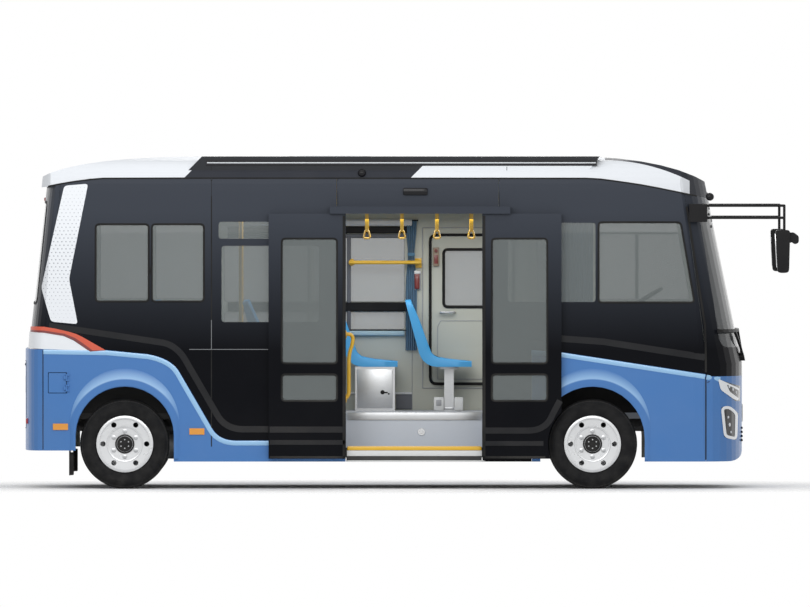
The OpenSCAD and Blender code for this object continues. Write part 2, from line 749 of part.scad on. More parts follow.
// Entrance step under the deck: tread, riser, two cheeks and the apron below the opening
module entrance_step() color("#8b8f94") {
    intersection() {
        body_solid(wall);
        difference() {
            translate([step_x[0] - box_t, -half_w, tread_z - box_t])
                cube([step_l + 2 * box_t, wall + step_depth + box_t, deck_z - tread_z + box_t]);
            translate([step_x[0], -half_w, tread_z]) cube([step_l, half_w + step_y, roof_z]);
        }
    }
    translate([step_x[0] + seam, -half_w, sill_z])
        cube([step_l - 2 * seam, wall + tuck, tread_z - sill_z]);
}

// Cross members of the chassis, as shares of the length
member_shares = [0.05, 0.25, 0.72, 0.93];
chassis_shares = [0.035, 0.955];
// Plate of the front towing eye and its upright bore
tow_l = 110;
tow_t = 30;
tow_r = 17;
tow_x = along(member_shares[3]) + chassis_w / 2 + tow_l / 2;
module chassis_frame() color("#2a2b2e") {
    z = deck_z - chassis_h;
    difference() {
        translate([along(member_shares[3]), -tow_l / 2, z]) cube([chassis_w / 2 + tow_l, tow_l, tow_t]);
        translate([tow_x, 0, z - overrun]) cylinder(r = tow_r, h = tow_t + 2 * overrun);
    }
    for (side = [0, 1]) mirror([0, side, 0])
        translate([along(chassis_shares[0]), chassis_y, z])
            cube([along(chassis_shares[1]) - along(chassis_shares[0]), chassis_w, chassis_h]);
    for (s = member_shares) translate([along(s) - chassis_w / 2, -chassis_y, z])
        cube([chassis_w, 2 * chassis_y, chassis_h]);
}

// Leaf springs beside the chassis rails, each on its axle's seat and held by two hangers
spring_l = 1100;
spring_w = 60;
spring_t = 28;
spring_rise = 90;
spring_gap = 20;
seat_rise = 6;
hanger_l = 60;
spring_y = chassis_y + chassis_w + spring_gap;
spring_z = tyre_r + axle_r + seat_rise;
module leaf_springs() color("#232427")
    for (x = [rear_axle_x, front_axle_x], side = [0, 1]) mirror([0, side, 0]) translate([x, spring_y, 0]) {
        half = spring_l / 2;
        end_z = spring_z + spring_rise;
        lower = bend([-half, end_z], [0, spring_z - spring_rise], [half, end_z]);
        translate([0, spring_w, 0]) rotate([90, 0, 0]) linear_extrude(spring_w)
            polygon(concat(lower, reversed([for (p = lower) p + [0, spring_t]])));
        for (end = [-1, 1]) translate([end * half - hanger_l / 2, -spring_gap, end_z - spring_t / 2])
            cube([hanger_l, spring_gap + spring_w, deck_z - end_z + spring_t / 2]);
    }

module spring_seats() {
    for (side = [0, 1]) mirror([0, side, 0]) translate([-spring_w, spring_y, 0])
        cube([2 * spring_w, spring_w, axle_r + seat_rise]);
}

// Steering ends of the front axle: an eye for the king pin in each
eye_r = 46;
eye_h = 120;
neck_r = 40;
module front_axle() color("#2a2b2e") translate([front_axle_x, 0, tyre_r]) difference() {
    union() {
        rotate([90, 0, 0]) cylinder(r = axle_r, h = 2 * (kingpin_y - 2 * eye_r), center = true);
        rotate([90, 0, 0]) cylinder(r = neck_r, h = 2 * kingpin_y, center = true);
        for (side = [-1, 1]) translate([0, side * kingpin_y, 0])
            cylinder(r = eye_r, h = eye_h, center = true);
        spring_seats();
    }
    for (side = [-1, 1]) translate([0, side * kingpin_y, 0])
        cylinder(r = kingpin_r + running, h = eye_h + overrun, center = true);
}

// Driven rear axle with its round gear housing and the pinion's nose towards the motor
housing_r = 150;
pinion_r = 48;
motor_r = 140;
motor_l = 390;
stub_end = 68;
motor_x = along(member_shares[1]) - chassis_w / 2;
module rear_axle() color("#2a2b2e") translate([rear_axle_x, 0, tyre_r]) {
    rotate([90, 0, 0]) cylinder(r = axle_r, h = 2 * (wheel_y - seat_rise), center = true);
    rotate([90, 0, 0]) cylinder(r = stub_r, h = 2 * (wheel_y + stub_end), center = true);
    sphere(r = housing_r);
    rotate([0, 90, 0]) cylinder(r = pinion_r, h = motor_x - motor_l - rear_axle_x);
    spring_seats();
}
module drive_motor() color("#5a5e63") translate([motor_x - motor_l, 0, tyre_r]) rotate([0, 90, 0])
    cylinder(r = motor_r, h = motor_l);

// Battery between the chassis rails
battery_shares = [0.262, 0.700];
battery_z = 262;
module battery_pack() color("#33363b") translate([along(battery_shares[0]), -chassis_y, battery_z])
    cube([along(battery_shares[1]) - along(battery_shares[0]), 2 * chassis_y, deck_z - battery_z]);

// Steering knuckle: a fork over the axle's eye, its king pin and the stub that carries the wheel
lug_t = 26;
web_gap = 4;
web_t = 16;
lug_w = 80;
module knuckle(side) color("#3c3e42") translate([front_axle_x, 0, tyre_r]) mirror([0, side > 0 ? 0 : 1, 0]) {
    rise = eye_h / 2 + fit_gap;
    web_y = kingpin_y + eye_r + web_gap;
    for (end = [0, 1]) mirror([0, 0, end]) {
        translate([0, kingpin_y, rise]) cylinder(r = eye_r, h = lug_t);
        translate([-lug_w / 2, kingpin_y, rise]) cube([lug_w, web_y + web_t - kingpin_y, lug_t]);
    }
    translate([0, kingpin_y, 0]) cylinder(r = kingpin_r, h = 2 * rise, center = true);
    translate([-lug_w / 2, web_y, -rise - lug_t]) cube([lug_w, web_t, 2 * (rise + lug_t)]);
    translate([0, web_y, 0]) rotate([-90, 0, 0]) cylinder(r = stub_r, h = wheel_y + stub_end - web_y);
}
module knuckle_left() knuckle(1);
module knuckle_right() knuckle(-1);

// Pressed wheel: rim, disc with vents round its edge, and a closed hub that runs on the stub axle
rim_t = 12;
rim_w = 176;
flange_h = 14;
flange_t = 12;
hub_r = 74;
hub_start = 2;
hub_end = 92;
cap_r = 62;
bore_end = 72;
disc_y = 50;
disc_t = 14;
disc_dish = 12;
vent_r = 22;
vent_count = 6;
vent_ring = 182;
module wheel_shape() difference() {
    half = rim_w / 2;
    inner = rim_r - rim_t;
    bore = stub_r + running;
    edge = rim_r + flange_h;
    rotate_extrude($fn = 96) polygon([[bore, hub_start], [hub_r, hub_start], [hub_r, disc_y],
        [inner, disc_y + disc_dish], [inner, -half], [edge, -half], [edge, flange_t - half],
        [rim_r, flange_t - half], [rim_r, half - flange_t], [edge, half - flange_t],
        [edge, half], [inner, half], [inner, disc_y + disc_dish + disc_t], [hub_r, disc_y + disc_t],
        [cap_r, hub_end], [0, hub_end], [0, bore_end], [bore, bore_end]]);
    for (i = [1 : vent_count]) rotate([0, 0, 360 * i / vent_count]) translate([vent_ring, 0, 0])
        cylinder(r = vent_r, h = half);
}
shoulder = 26;
module tyre_shape() {
    bead = rim_w / 2 - flange_t - fit_gap;
    foot = rim_r + fit_gap;
    lip = rim_r + flange_h + shoulder / 2;
    side = concat([[foot, bead], [rim_r + flange_h, bead]],
        bend([lip, rim_w / 2 + fit_gap], [(lip + tyre_r) / 2, tyre_w / 2 + shoulder / 2],
            [tyre_r - shoulder, tyre_w / 2 - shoulder / 3]),
        bend([tyre_r - shoulder / 2, tyre_w / 2 - shoulder / 2], [tyre_r, tyre_w / 2 - shoulder],
            [tyre_r, tyre_w / 4], arc_steps / 2));
    rotate_extrude($fn = 96) polygon(concat(side, reversed([for (p = side) [p[0], -p[1]]])));
}
// Place of a wheel: its axle and its side
module at_wheel(x, side) translate([x, side * wheel_y, tyre_r]) rotate([-90 * side, 0, 0]) children();
module wheel_front_left() color("#cfd3d6") at_wheel(front_axle_x, 1) wheel_shape();
module wheel_front_right() color("#cfd3d6") at_wheel(front_axle_x, -1) wheel_shape();
module wheel_rear_left() color("#cfd3d6") at_wheel(rear_axle_x, 1) wheel_shape();
module wheel_rear_right() color("#cfd3d6") at_wheel(rear_axle_x, -1) wheel_shape();
module tyre_front_left() color("#1a1b1d") at_wheel(front_axle_x, 1) tyre_shape();
module tyre_front_right() color("#1a1b1d") at_wheel(front_axle_x, -1) tyre_shape();
module tyre_rear_left() color("#1a1b1d") at_wheel(rear_axle_x, 1) tyre_shape();
module tyre_rear_right() color("#1a1b1d") at_wheel(rear_axle_x, -1) tyre_shape();

// Rubber flaps behind the rear wheels
flap_z = 110;
flap_t = 12;
module mud_flaps() color("#17181a") for (side = [0, 1]) mirror([0, side, 0])
    translate([rear_axle_x - arch_rear_r - box_gap - 2 * box_t - flap_t, wheel_y - tyre_w / 2, flap_z])
        cube([flap_t, tyre_w - 2 * fit_gap - wall, deck_z - flap_z]);

// Seats. Each row: station of the pan's rear, place across as a share of the way to the wall seats,
// and 1 for a cabinet base or 0 for a post
seat_shares = [[0.0726, -0.92, 0], [0.0726, -0.308, 0], [0.0726, 0.308, 0], [0.0726, 0.92, 0],
    [0.2078, -1, 0], [0.2078, 1, 0], [0.333, -1, 0], [0.333, 1, 0], [0.4554, 1, 1], [0.5594, 1, 0]];
// Gap between the inner walls and the seats beside them
side_gap = 67;
seat_y = inner_w - side_gap - seat_w / 2;
seat_l = 380;
back_h = 560;
back_lean = 150;
seat_r = 70;
// Shares of the back and of the pan that the bend between them takes up
bend_shares = [0.22, 0.26];
// Side view of a seat: back, bend and pan of one thickness
function seat_points(t, l, h, lean) = concat([[-lean, h]],
    bend([-lean * bend_shares[0], h * bend_shares[0]], [0, t], [l * bend_shares[1], t]), [[l, t], [l, 0]],
    reversed(bend([-lean * bend_shares[0] - t, h * bend_shares[0]], [-t / 2, 0], [l * bend_shares[1], 0])),
    [[-lean - t, h]]);
module seat_shape(t, l, h, lean, w, r) intersection() {
    rotate([90, 0, 0]) linear_extrude(w, center = true) polygon(seat_points(t, l, h, lean));
    translate([-l, 0, 0]) rotate([90, 0, 90]) linear_extrude(3 * l)
        polygon(rounded(box_points(-w / 2, w / 2, -r, h), r));
}
module seat_shells() color("#3f94cf") for (row = seat_shares)
    translate([along(row[0]), row[1] * seat_y, floor_z + seat_z])
        seat_shape(seat_t, seat_l, back_h, back_lean, seat_w, seat_r);

// Posts with foot plates, one cabinet, and the driver's seat box
post_w = 80;
post_share = 0.5;
foot_w = 170;
foot_t = 12;
cabinet_share = [0.06, 0.94];
driver_shares = [0.785, 0.40];
driver_z = 390;
driver_box_w = 220;
module seat_pedestals() color("#b9bdc1") {
    for (row = seat_shares) translate([along(row[0]), row[1] * seat_y, floor_z])
        if (row[2] > 0) translate([cabinet_share[0] * seat_l, -seat_w / 2, 0])
            cube([(cabinet_share[1] - cabinet_share[0]) * seat_l, seat_w, seat_z]);
        else translate([post_share * seat_l, 0, 0]) {
            translate([-post_w / 2, -post_w / 2, 0]) cube([post_w, post_w, seat_z]);
            translate([-foot_w / 2, -post_w / 2, 0]) cube([foot_w, post_w, foot_t]);
        }
    translate([along(driver_shares[0]) + foot_w / 2, driver_shares[1] * half_w - driver_box_w / 2, floor_z])
        cube([driver_box_w, driver_box_w, driver_z]);
}
// Driver's padded seat
cushion_t = 110;
cushion_l = 470;
cushion_h = 690;
cushion_w = 470;
cushion_r = 60;
module driver_seat() color("#3a3f47")
    translate([along(driver_shares[0]), driver_shares[1] * half_w, floor_z + driver_z])
        seat_shape(cushion_t, cushion_l, cushion_h, back_lean / 2, cushion_w, cushion_r);

// Dashboard across the nose with the steering column, and the wheel at the column's head
// Its side view, as shares of the length and of the height from floor to roof
dash_shares = [[0.93, 0], [0.99, 0], [0.99, 0.257], [0.912, 0.257], [0.905, 0.173], [0.93, 0.134]];
dash_y_share = 0.86;
column_r = 26;
column_tilt = 30;
column_l = 600;
wheel_at_shares = [0.8573, 0.5583];
steer_r = 215;
grip_r = 15;
boss_r = 48;
boss_t = 40;
spoke_w = 34;
spoke_t = 14;
module at_column() translate([along(wheel_at_shares[0]), driver_shares[1] * half_w, up(wheel_at_shares[1])])
    rotate([0, -column_tilt, 0]) children();
module dashboard() color("#2e3136") {
    intersection() {
        body_solid(wall);
        across([for (p = dash_shares) [along(p[0]), floor_z + p[1] * (roof_z - floor_z)]]);
        translate([0, -dash_y_share * half_w, 0]) cube([body_l, 2 * dash_y_share * half_w, roof_z]);
    }
    at_column() translate([0, 0, -boss_t - fit_gap - column_l]) cylinder(r = column_r, h = column_l);
}
module steering_wheel() color("#1d1e21") at_column() {
    rotate_extrude() translate([steer_r, 0]) circle(r = grip_r);
    translate([0, 0, -boss_t]) cylinder(r = boss_r, h = boss_t);
    for (a = [0, 120, 240]) rotate([0, 0, a]) translate([0, -spoke_w / 2, -spoke_t])
        cube([steer_r, spoke_w, spoke_t]);
}

// Yellow grab rails: two overhead runs on drop tubes, posts to the floor, and a bar along the left window
overhead_share = [0.08, 0.72, 0.40, 0.835];
drop_shares = [0.10, 0.30, 0.4345, 0.655];
post_shares = [[0.4345, -1], [0.655, -1], [0.30, 1], [0.30, -1]];
strap_shares = [0.476, 0.525, 0.574, 0.622];
strap_l = 175;
strap_w = 30;
strap_t = 8;
bar_shares = [0.4512, 0.5515, 0.6767];
bar_y = 60;
module grab_rails() color("#e5b21f") intersection() {
    body_solid(wall);
    union() {
        z = up(overhead_share[3]);
        for (side = [-1, 1]) translate([0, side * overhead_share[2] * half_w, 0]) {
            translate([along(overhead_share[0]), 0, z]) rotate([0, 90, 0])
                cylinder(r = rail_r, h = along(overhead_share[1]) - along(overhead_share[0]));
            for (s = drop_shares) translate([along(s), 0, z]) cylinder(r = rail_r, h = roof_z - z);
            for (s = strap_shares) translate([along(s) - strap_w / 2, -strap_t / 2, z - strap_l])
                cube([strap_w, strap_t, strap_l]);
        }
        for (row = post_shares) translate([along(row[0]), row[1] * overhead_share[2] * half_w, floor_z])
            cylinder(r = rail_r, h = z - floor_z);
        translate([along(bar_shares[0]), inner_w - tumble - bar_y, up(bar_shares[2])]) {
            length = along(bar_shares[1]) - along(bar_shares[0]);
            rotate([0, 90, 0]) cylinder(r = rail_r, h = length);
            for (x = [rail_r, length - rail_r]) translate([x, 0, 0]) rotate([-90, 0, 0])
                cylinder(r = rail_r, h = half_w);
        }
    }
}

// Gathered curtains against the inner walls: rear, front, lower and upper edges
curtain_left_shares = [0.5300, 0.5460, 0.408, 0.803];
curtain_right_shares = [0.7400, 0.7900, 0.552, 0.812];
curtain_t = 28;
module curtain(row, side) intersection() {
    difference() {
        section_prism(wall + fit_gap, -overrun);
        section_prism(wall + curtain_t, -overrun);
    }
    side_prism(box_points(along(row[0]), along(row[1]), up(row[2]), up(row[3])), side);
}
module curtain_left() color("#4d7f9e") curtain(curtain_left_shares, 1);
module curtain_right() color("#4d7f9e") curtain(curtain_right_shares, -1);

// Mirrors on two-tube arms ahead of the upper corners
bracket_shares = [0.924, 0.949, 0.803, 0.857];
arm_r = 11;
bracket_w = 130;
arm_end_share = 1.0560;
arm_z_shares = [0.8520, 0.8155];
// Side view of the mirror's head and of the small round-down mirror ahead of it
head_shares = [[1.0435, 0.7790], [1.0640, 0.7790], [1.0625, 0.655], [1.0595, 0.6495], [1.0485, 0.6495],
    [1.0465, 0.656]];
head_w = 190;
arm_y = half_w + leaf_gap + leaf_t - head_w / 2;
small_shares = [[1.0590, 0.7700], [1.0690, 0.7720], [tip_share, 0.760], [tip_share, 0.741],
    [1.0710, 0.735], [1.0590, 0.752]];
small_w = 150;
head_r = 30;
module mirrors() color("#26292e") for (side = [0, 1]) mirror([0, side, 0]) {
    arm_x = [along(bracket_shares[1]) - arm_r, along(arm_end_share)];
    z = [up(arm_z_shares[0]), up(arm_z_shares[1])];
    difference() {
        translate([along(bracket_shares[0]), arm_y + 2 * arm_r - bracket_w, up(bracket_shares[2])])
            cube([along(bracket_shares[1]) - along(bracket_shares[0]), bracket_w,
                up(bracket_shares[3]) - up(bracket_shares[2])]);
        body_solid(0);
    }
    for (height = z) translate([arm_x[0], arm_y, height]) rotate([0, 90, 0])
        cylinder(r = arm_r, h = arm_x[1] - arm_x[0]);
    for (height = z) translate([arm_x[1], arm_y, height]) sphere(r = arm_r);
    head_z = up(head_shares[0][1]) - head_r;
    translate([arm_x[1], arm_y, head_z]) cylinder(r = arm_r, h = z[0] - head_z);
    translate([0, arm_y + head_w / 2, 0]) rotate([90, 0, 0]) linear_extrude(head_w)
        polygon(rounded(spots(head_shares), head_r));
    translate([0, arm_y + small_w / 2, 0]) rotate([90, 0, 0]) linear_extrude(small_w)
        polygon(rounded(spots(small_shares), head_r / 2));
}

// Wipers that lie along the foot of the windscreen: half width places and heights as shares
wiper_spindle_shares = [[-0.36, 0.395], [0.30, 0.395]];
wiper_tip_shares = [[-0.62, 0.475], [0.04, 0.475]];
blade_share = 0.30;
wiper_w = 26;
spindle_r = 34;
wiper_off = 12;
wiper_t = 20;
// Bar of one width between two points of the front view
function bar_points(a, b, w) = let (d = (b - a) / norm(b - a), n = [-d[1], d[0]] * w / 2)
    [a - n, b - n, b + n, a + n];
module wipers() color("#17181a") {
    reach = [along(nose_start_share), along(front_end_share)];
    for (i = [0, 1]) {
        spindle = [wiper_spindle_shares[i][0] * half_w, up(wiper_spindle_shares[i][1])];
        tip = [wiper_tip_shares[i][0] * half_w, up(wiper_tip_shares[i][1])];
        blade = [blade_share * half_w, 0];
        intersection() {
            difference() {
                body_solid(-wiper_off - wiper_t);
                body_solid(-wiper_off);
            }
            union() {
                lengthwise(bar_points(spindle, tip, wiper_w), reach[0], reach[1]);
                lengthwise(bar_points(tip - blade, tip + blade, wiper_w), reach[0], reach[1]);
            }
        }
        intersection() {
            difference() {
                body_solid(-wiper_off - wiper_t);
                body_solid(0);
            }
            translate([reach[0], spindle[0], spindle[1]]) rotate([0, 90, 0])
                cylinder(r = spindle_r, h = reach[1] - reach[0]);
        }
    }
}

chassis_frame();
leaf_springs();
front_axle();
rear_axle();
drive_motor();
battery_pack();
floor();
wheel_boxes();
entrance_step();
roof();
roof_fairings();
right_rear_panel();
right_mid_panel();
right_front_panel();
door_header();
left_rear_panel();
left_mid_panel();
left_front_panel();
right_quarters();
left_quarters();
rear_wall();
rear_bumper();
front_mask();
front_bumper();
windscreen();
rear_glass();
right_glass();
left_glass();
door_leaf_rear();
door_leaf_front();
door_glass();
pillar_grilles();
front_lamps();
tail_lamps();
side_markers();
mirrors();
wipers();
mud_flaps();
dashboard();
driver_seat();
seat_shells();
seat_pedestals();
grab_rails();
curtain_left();
curtain_right();
steering_wheel();
charge_lid();
emergency_door();
emergency_glass();
knuckle_left();
knuckle_right();
wheel_front_left();
wheel_front_right();
wheel_rear_left();
wheel_rear_right();
tyre_front_left();
tyre_front_right();
tyre_rear_left();
tyre_rear_right();
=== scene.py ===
# Dresses the electric minibus: finishes for every solid, then trim, lamps, wheels, cabin and cloth.
import json
import math
import bmesh
import bpy
from mathutils import Matrix, Vector
from bmesh.types import BMEdge, BMFace, BMVert


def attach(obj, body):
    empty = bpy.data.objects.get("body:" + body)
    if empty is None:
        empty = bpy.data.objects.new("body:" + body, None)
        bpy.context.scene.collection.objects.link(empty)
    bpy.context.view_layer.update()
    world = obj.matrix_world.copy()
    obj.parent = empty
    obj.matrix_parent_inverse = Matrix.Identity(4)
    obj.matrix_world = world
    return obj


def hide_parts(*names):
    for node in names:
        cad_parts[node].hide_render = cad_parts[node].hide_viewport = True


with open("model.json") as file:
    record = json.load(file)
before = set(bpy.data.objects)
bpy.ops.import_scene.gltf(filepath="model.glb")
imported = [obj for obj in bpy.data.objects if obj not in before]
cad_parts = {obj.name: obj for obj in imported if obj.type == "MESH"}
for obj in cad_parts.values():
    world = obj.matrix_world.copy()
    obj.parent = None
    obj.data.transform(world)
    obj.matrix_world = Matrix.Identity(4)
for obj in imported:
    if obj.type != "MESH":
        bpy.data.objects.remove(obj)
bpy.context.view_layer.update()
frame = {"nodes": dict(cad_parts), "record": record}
scene = bpy.context.scene
scene.view_settings.view_transform = "Standard"

# Main sizes of the bus, in metres
BODY_L, ROOF_Z, HALF_W = 5.990, 2.764, 1.040
NOSE_X, TAIL_X = 0.462 * BODY_L, -0.538 * BODY_L
FRONT_AXLE, REAR_AXLE, AXLE_Z, WHEEL_Y = 1.507683, -2.384020, 0.372, 0.9175
REAR_ARCH, FRONT_ARCH, ARCH_TOP = 0.408, 0.434, 0.3075 * ROOF_Z
# Side walls: heights where the tuck, the upright belt and the lean end, and what they take off the half width
TUCK_Z, BELT_Z, CANT_Z, CROWN_Z = 0.5528, 1.1498, 2.4793, 2.7336
FOOT_HALF, TUCK, LEAN, CANT_HALF, CROWN_FALL = 1.024, 0.016, 0.052, 0.988, 0.1976
# Ends in plan: half width between them, and depth and power of the curve of each
PLAN_HALF, NOSE_DEPTH, NOSE_POWER, TAIL_DEPTH, TAIL_POWER = 1.044, 0.48, 3, 0.26, 4
# Side drawing: it counts along from the tail, and down to the ground
TAIL_MARK, MARKS_LONG, GROUND_MARK, MARKS_HIGH = 25, 718, 488, 331


def along(share):
    """Station at a share of the length from the tail."""
    return share * BODY_L + TAIL_X


def sx(mark):
    """Station along the bus of a mark on the side drawing."""
    return along((mark - TAIL_MARK) / MARKS_LONG)


def sz(mark):
    """Height of a mark on the side drawing."""
    return (GROUND_MARK - mark) / MARKS_HIGH * ROOF_Z


def wall_y(z):
    """Half width of the side walls and of the roof's rounded edge at a height."""
    if z < TUCK_Z:
        return FOOT_HALF + TUCK * z / TUCK_Z
    if z < BELT_Z:
        return HALF_W
    if z < CANT_Z:
        return HALF_W - LEAN * (z - BELT_Z) / (CANT_Z - BELT_Z)
    t = 1 - math.sqrt(max(0.0, (CROWN_Z - z) / (CROWN_Z - CANT_Z)))
    return CANT_HALF - CROWN_FALL * t * t


def plan_y(x):
    """Half width of the nose and of the tail at a station."""
    for gap, depth, power in ((NOSE_X - x, NOSE_DEPTH, NOSE_POWER), (x - TAIL_X, TAIL_DEPTH, TAIL_POWER)):
        if gap < depth:
            c = max(0.0, 1 - gap / depth) ** (power / 2)
            return PLAN_HALF * max(0.0, 1 - c * c) ** (1 / power)
    return PLAN_HALF


def skin_y(x, z):
    """Half width of the body's skin at a station and a height."""
    return min(wall_y(z), plan_y(x))


def rounded(points, r, steps=4):
    """Outline with each corner rounded over the length r of both its edges."""
    out = []
    for i, p in enumerate(points):
        p = Vector(p)
        before, after = Vector(points[i - 1]) - p, Vector(points[(i + 1) % len(points)]) - p
        a = p + before * min(r / before.length, 0.5)
        c = p + after * min(r / after.length, 0.5)
        for k in range(steps + 1):
            t = k / steps
            out.append(a * (1 - t) ** 2 + p * 2 * t * (1 - t) + c * t * t)
    return out


def arc(a, b, c, steps=8):
    """Points of a curve that leaves a towards b and arrives at c from b."""
    a, b, c = Vector(a), Vector(b), Vector(c)
    return [a * (1 - t) ** 2 + b * 2 * t * (1 - t) + c * t * t for t in (k / steps for k in range(steps + 1))]


def marks(*pairs):
    """Side drawing marks as stations and heights."""
    return [Vector((sx(a), sz(b))) for a, b in pairs]


def upright(mark, foot, top):
    """Upright line at a mark, from its foot to its top."""
    return marks((mark, foot), (mark, top))


def level(height, rear, front):
    """Level line at a height, from its rear end to its front end."""
    return marks((rear, height), (front, height))


def add(tree, kind, links=None, **settings):
    """One shader node, with its settings and its inputs set or linked."""
    node = tree.nodes.new("ShaderNode" + kind)
    for key, value in settings.items():
        setattr(node, key, value)
    for key, value in (links or {}).items():
        if isinstance(value, bpy.types.NodeSocket):
            tree.links.new(value, node.inputs[key])
        else:
            node.inputs[key].default_value = value
    return node


def math_node(tree, kind, a, b=0.0, clamp=False):
    return add(tree, "Math", {0: a, 1: b}, operation=kind, use_clamp=clamp).outputs[0]


def operation(kind):
    """Function that adds a math node of one kind."""
    return lambda tree, a, b=0.0, clamp=False: math_node(tree, kind, a, b, clamp)


plus, minus, times, divided = operation("ADD"), operation("SUBTRACT"), operation("MULTIPLY"), operation("DIVIDE")
is_over, is_under, largest = operation("GREATER_THAN"), operation("LESS_THAN"), operation("MAXIMUM")
absolute, sine, root = operation("ABSOLUTE"), operation("SINE"), operation("SQRT")


def spot(tree, kind="Object"):
    """Place on a piece, or the way its surface looks, as three values."""
    return add(tree, "SeparateXYZ", {0: add(tree, "TexCoord").outputs[kind]}).outputs


def distance(tree, a, b):
    return root(tree, plus(tree, times(tree, a, a), times(tree, b, b)))


def mix_colour(tree, factor, a, b):
    return add(tree, "Mix", {0: factor, 6: a, 7: b}, data_type="RGBA").outputs[2]


def ramp(tree, value, low, high, to_low=0.0, to_high=1.0):
    return add(tree, "MapRange", {0: value, 1: low, 2: high, 3: to_low, 4: to_high}).outputs[0]


def group(name, inputs, outputs):
    """Empty node group with its sockets; gives the tree and its two end nodes."""
    tree = bpy.data.node_groups.new(name, "ShaderNodeTree")
    for label, kind, value in inputs:
        socket = tree.interface.new_socket(label, in_out="INPUT", socket_type="NodeSocket" + kind)
        socket.default_value = value
    for label, kind in outputs:
        tree.interface.new_socket(label, in_out="OUTPUT", socket_type="NodeSocket" + kind)
    return tree, tree.nodes.new("NodeGroupInput"), tree.nodes.new("NodeGroupOutput")


def rgba(r, g, b):
    return (r, g, b, 1.0)


# Road film: a colour with faint cloudy variation and dust that thickens towards the ground
film, f_in, f_out = group("road_film", [("Color", "Color", rgba(0.5, 0.5, 0.5)), ("Dust", "Float", 0.08),
                                        ("Scale", "Float", 3.0), ("Grain", "Float", 220.0)],
                          [("Color", "Color"), ("Mask", "Float"), ("Height", "Float")])
f_at = add(film, "TexCoord").outputs["Object"]
f_cloud = add(film, "TexNoise", {"Vector": f_at, "Scale": f_in.outputs["Scale"], "Detail": 5.0}).outputs[0]
f_low = ramp(film, spot(film)[2], 0.2, 1.3, 1.0, 0.25)
f_mask = times(film, times(film, ramp(film, f_cloud, 0.35, 0.75), f_low), f_in.outputs["Dust"], True)
film.links.new(mix_colour(film, f_mask, f_in.outputs["Color"], rgba(0.42, 0.40, 0.37)), f_out.inputs["Color"])
film.links.new(f_mask, f_out.inputs["Mask"])
film.links.new(add(film, "TexNoise", {"Vector": f_at, "Scale": f_in.outputs["Grain"], "Detail": 2.0}).outputs[0],
               f_out.inputs["Height"])

# Inner faces: marks the faces of a wall that look into the cabin
inner, _, i_out = group("inner_face", [], [("Mask", "Float")])
i_turn = times(inner, math_node(inner, "SIGN", spot(inner)[1]), spot(inner, "Normal")[1])
inner.links.new(ramp(inner, i_turn, -0.45, -0.55), i_out.inputs["Mask"])

# Weave: crossed threads on upright cloth
weave, w_in, w_out = group("weave", [("Scale", "Float", 900.0)], [("Mask", "Float"), ("Height", "Float")])
w_at = add(weave, "TexCoord").outputs["Object"]
threads = [add(weave, "TexWave", {"Vector": w_at, "Scale": w_in.outputs["Scale"], "Distortion": 0.6},
               bands_direction=way).outputs[1] for way in ("X", "Z")]
w_sum = times(weave, plus(weave, threads[0], threads[1]), 0.5)
weave.links.new(w_sum, w_out.inputs["Height"])
weave.links.new(times(weave, w_sum, add(weave, "TexNoise", {"Vector": w_at, "Scale": 14.0}).outputs[0]),
                w_out.inputs["Mask"])


COAT_ROUGH, INSIDE_ROUGH, DUSTY_ROUGH = 0.06, 0.6, 0.12


def finish(name, rough, metallic=0.0, coat=0.0, specular=0.5):
    """New material; gives it, its tree and its shader."""
    mat = bpy.data.materials.new(name)
    mat.use_nodes = True
    shader = mat.node_tree.nodes["Principled BSDF"]
    for socket, value in (("Roughness", rough), ("Metallic", metallic), ("Coat Weight", coat),
                          ("Coat Roughness", COAT_ROUGH), ("Specular IOR Level", specular)):
        shader.inputs[socket].default_value = value
    return mat, mat.node_tree, shader


def bumped(tree, shader, height, strength, depth=0.001):
    """Relief on a shader from a height."""
    bump = add(tree, "Bump", {"Strength": strength, "Distance": depth, "Height": height})
    tree.links.new(bump.outputs[0], shader.inputs["Normal"])


def use_group(tree, nodes_tree, **inputs):
    return add(tree, "Group", inputs, node_tree=nodes_tree)


def coated(name, colour, rough=0.3, metallic=0.0, coat=0.0, specular=0.5, dust=0.08, scale=3.0, grain=220.0,
           bump=0.03, inside=None, upper=None):
    """Painted, moulded or bare surface: road film over a colour, with a cabin colour on its inner faces.

    upper is a second colour that the first one runs into between two heights."""
    mat, tree, shader = finish(name, rough, metallic, coat, specular)
    if upper:
        colour = mix_colour(tree, ramp(tree, spot(tree)[2], upper[1], upper[2]), colour, upper[0])
    surface = use_group(tree, film, Color=colour, Dust=dust, Scale=scale, Grain=grain)
    result = surface.outputs["Color"]
    roughness = ramp(tree, surface.outputs["Mask"], 0.0, 0.3, rough, min(1.0, rough + DUSTY_ROUGH))
    if inside:
        mask = use_group(tree, inner).outputs["Mask"]
        result = mix_colour(tree, mask, result, inside)
        roughness = add(tree, "Mix", {0: mask, 2: roughness, 3: INSIDE_ROUGH}).outputs[0]
    tree.links.new(result, shader.inputs["Base Color"])
    tree.links.new(roughness, shader.inputs["Roughness"])
    bumped(tree, shader, surface.outputs["Height"], bump)
    return mat


BEIGE = rgba(0.50, 0.51, 0.45)
DARK, PAINTED_REFLECTION_GREY = rgba(0.0040, 0.0044, 0.0062), rgba(0.046, 0.053, 0.068)
# PAINTED_HIGHLIGHT_BLUE is the paler blue of the painted highlight along the wheel arch crests
BLUE, PAINTED_HIGHLIGHT_BLUE = rgba(0.078, 0.205, 0.485), rgba(0.32, 0.52, 0.78)
WHITE = rgba(0.80, 0.83, 0.87)
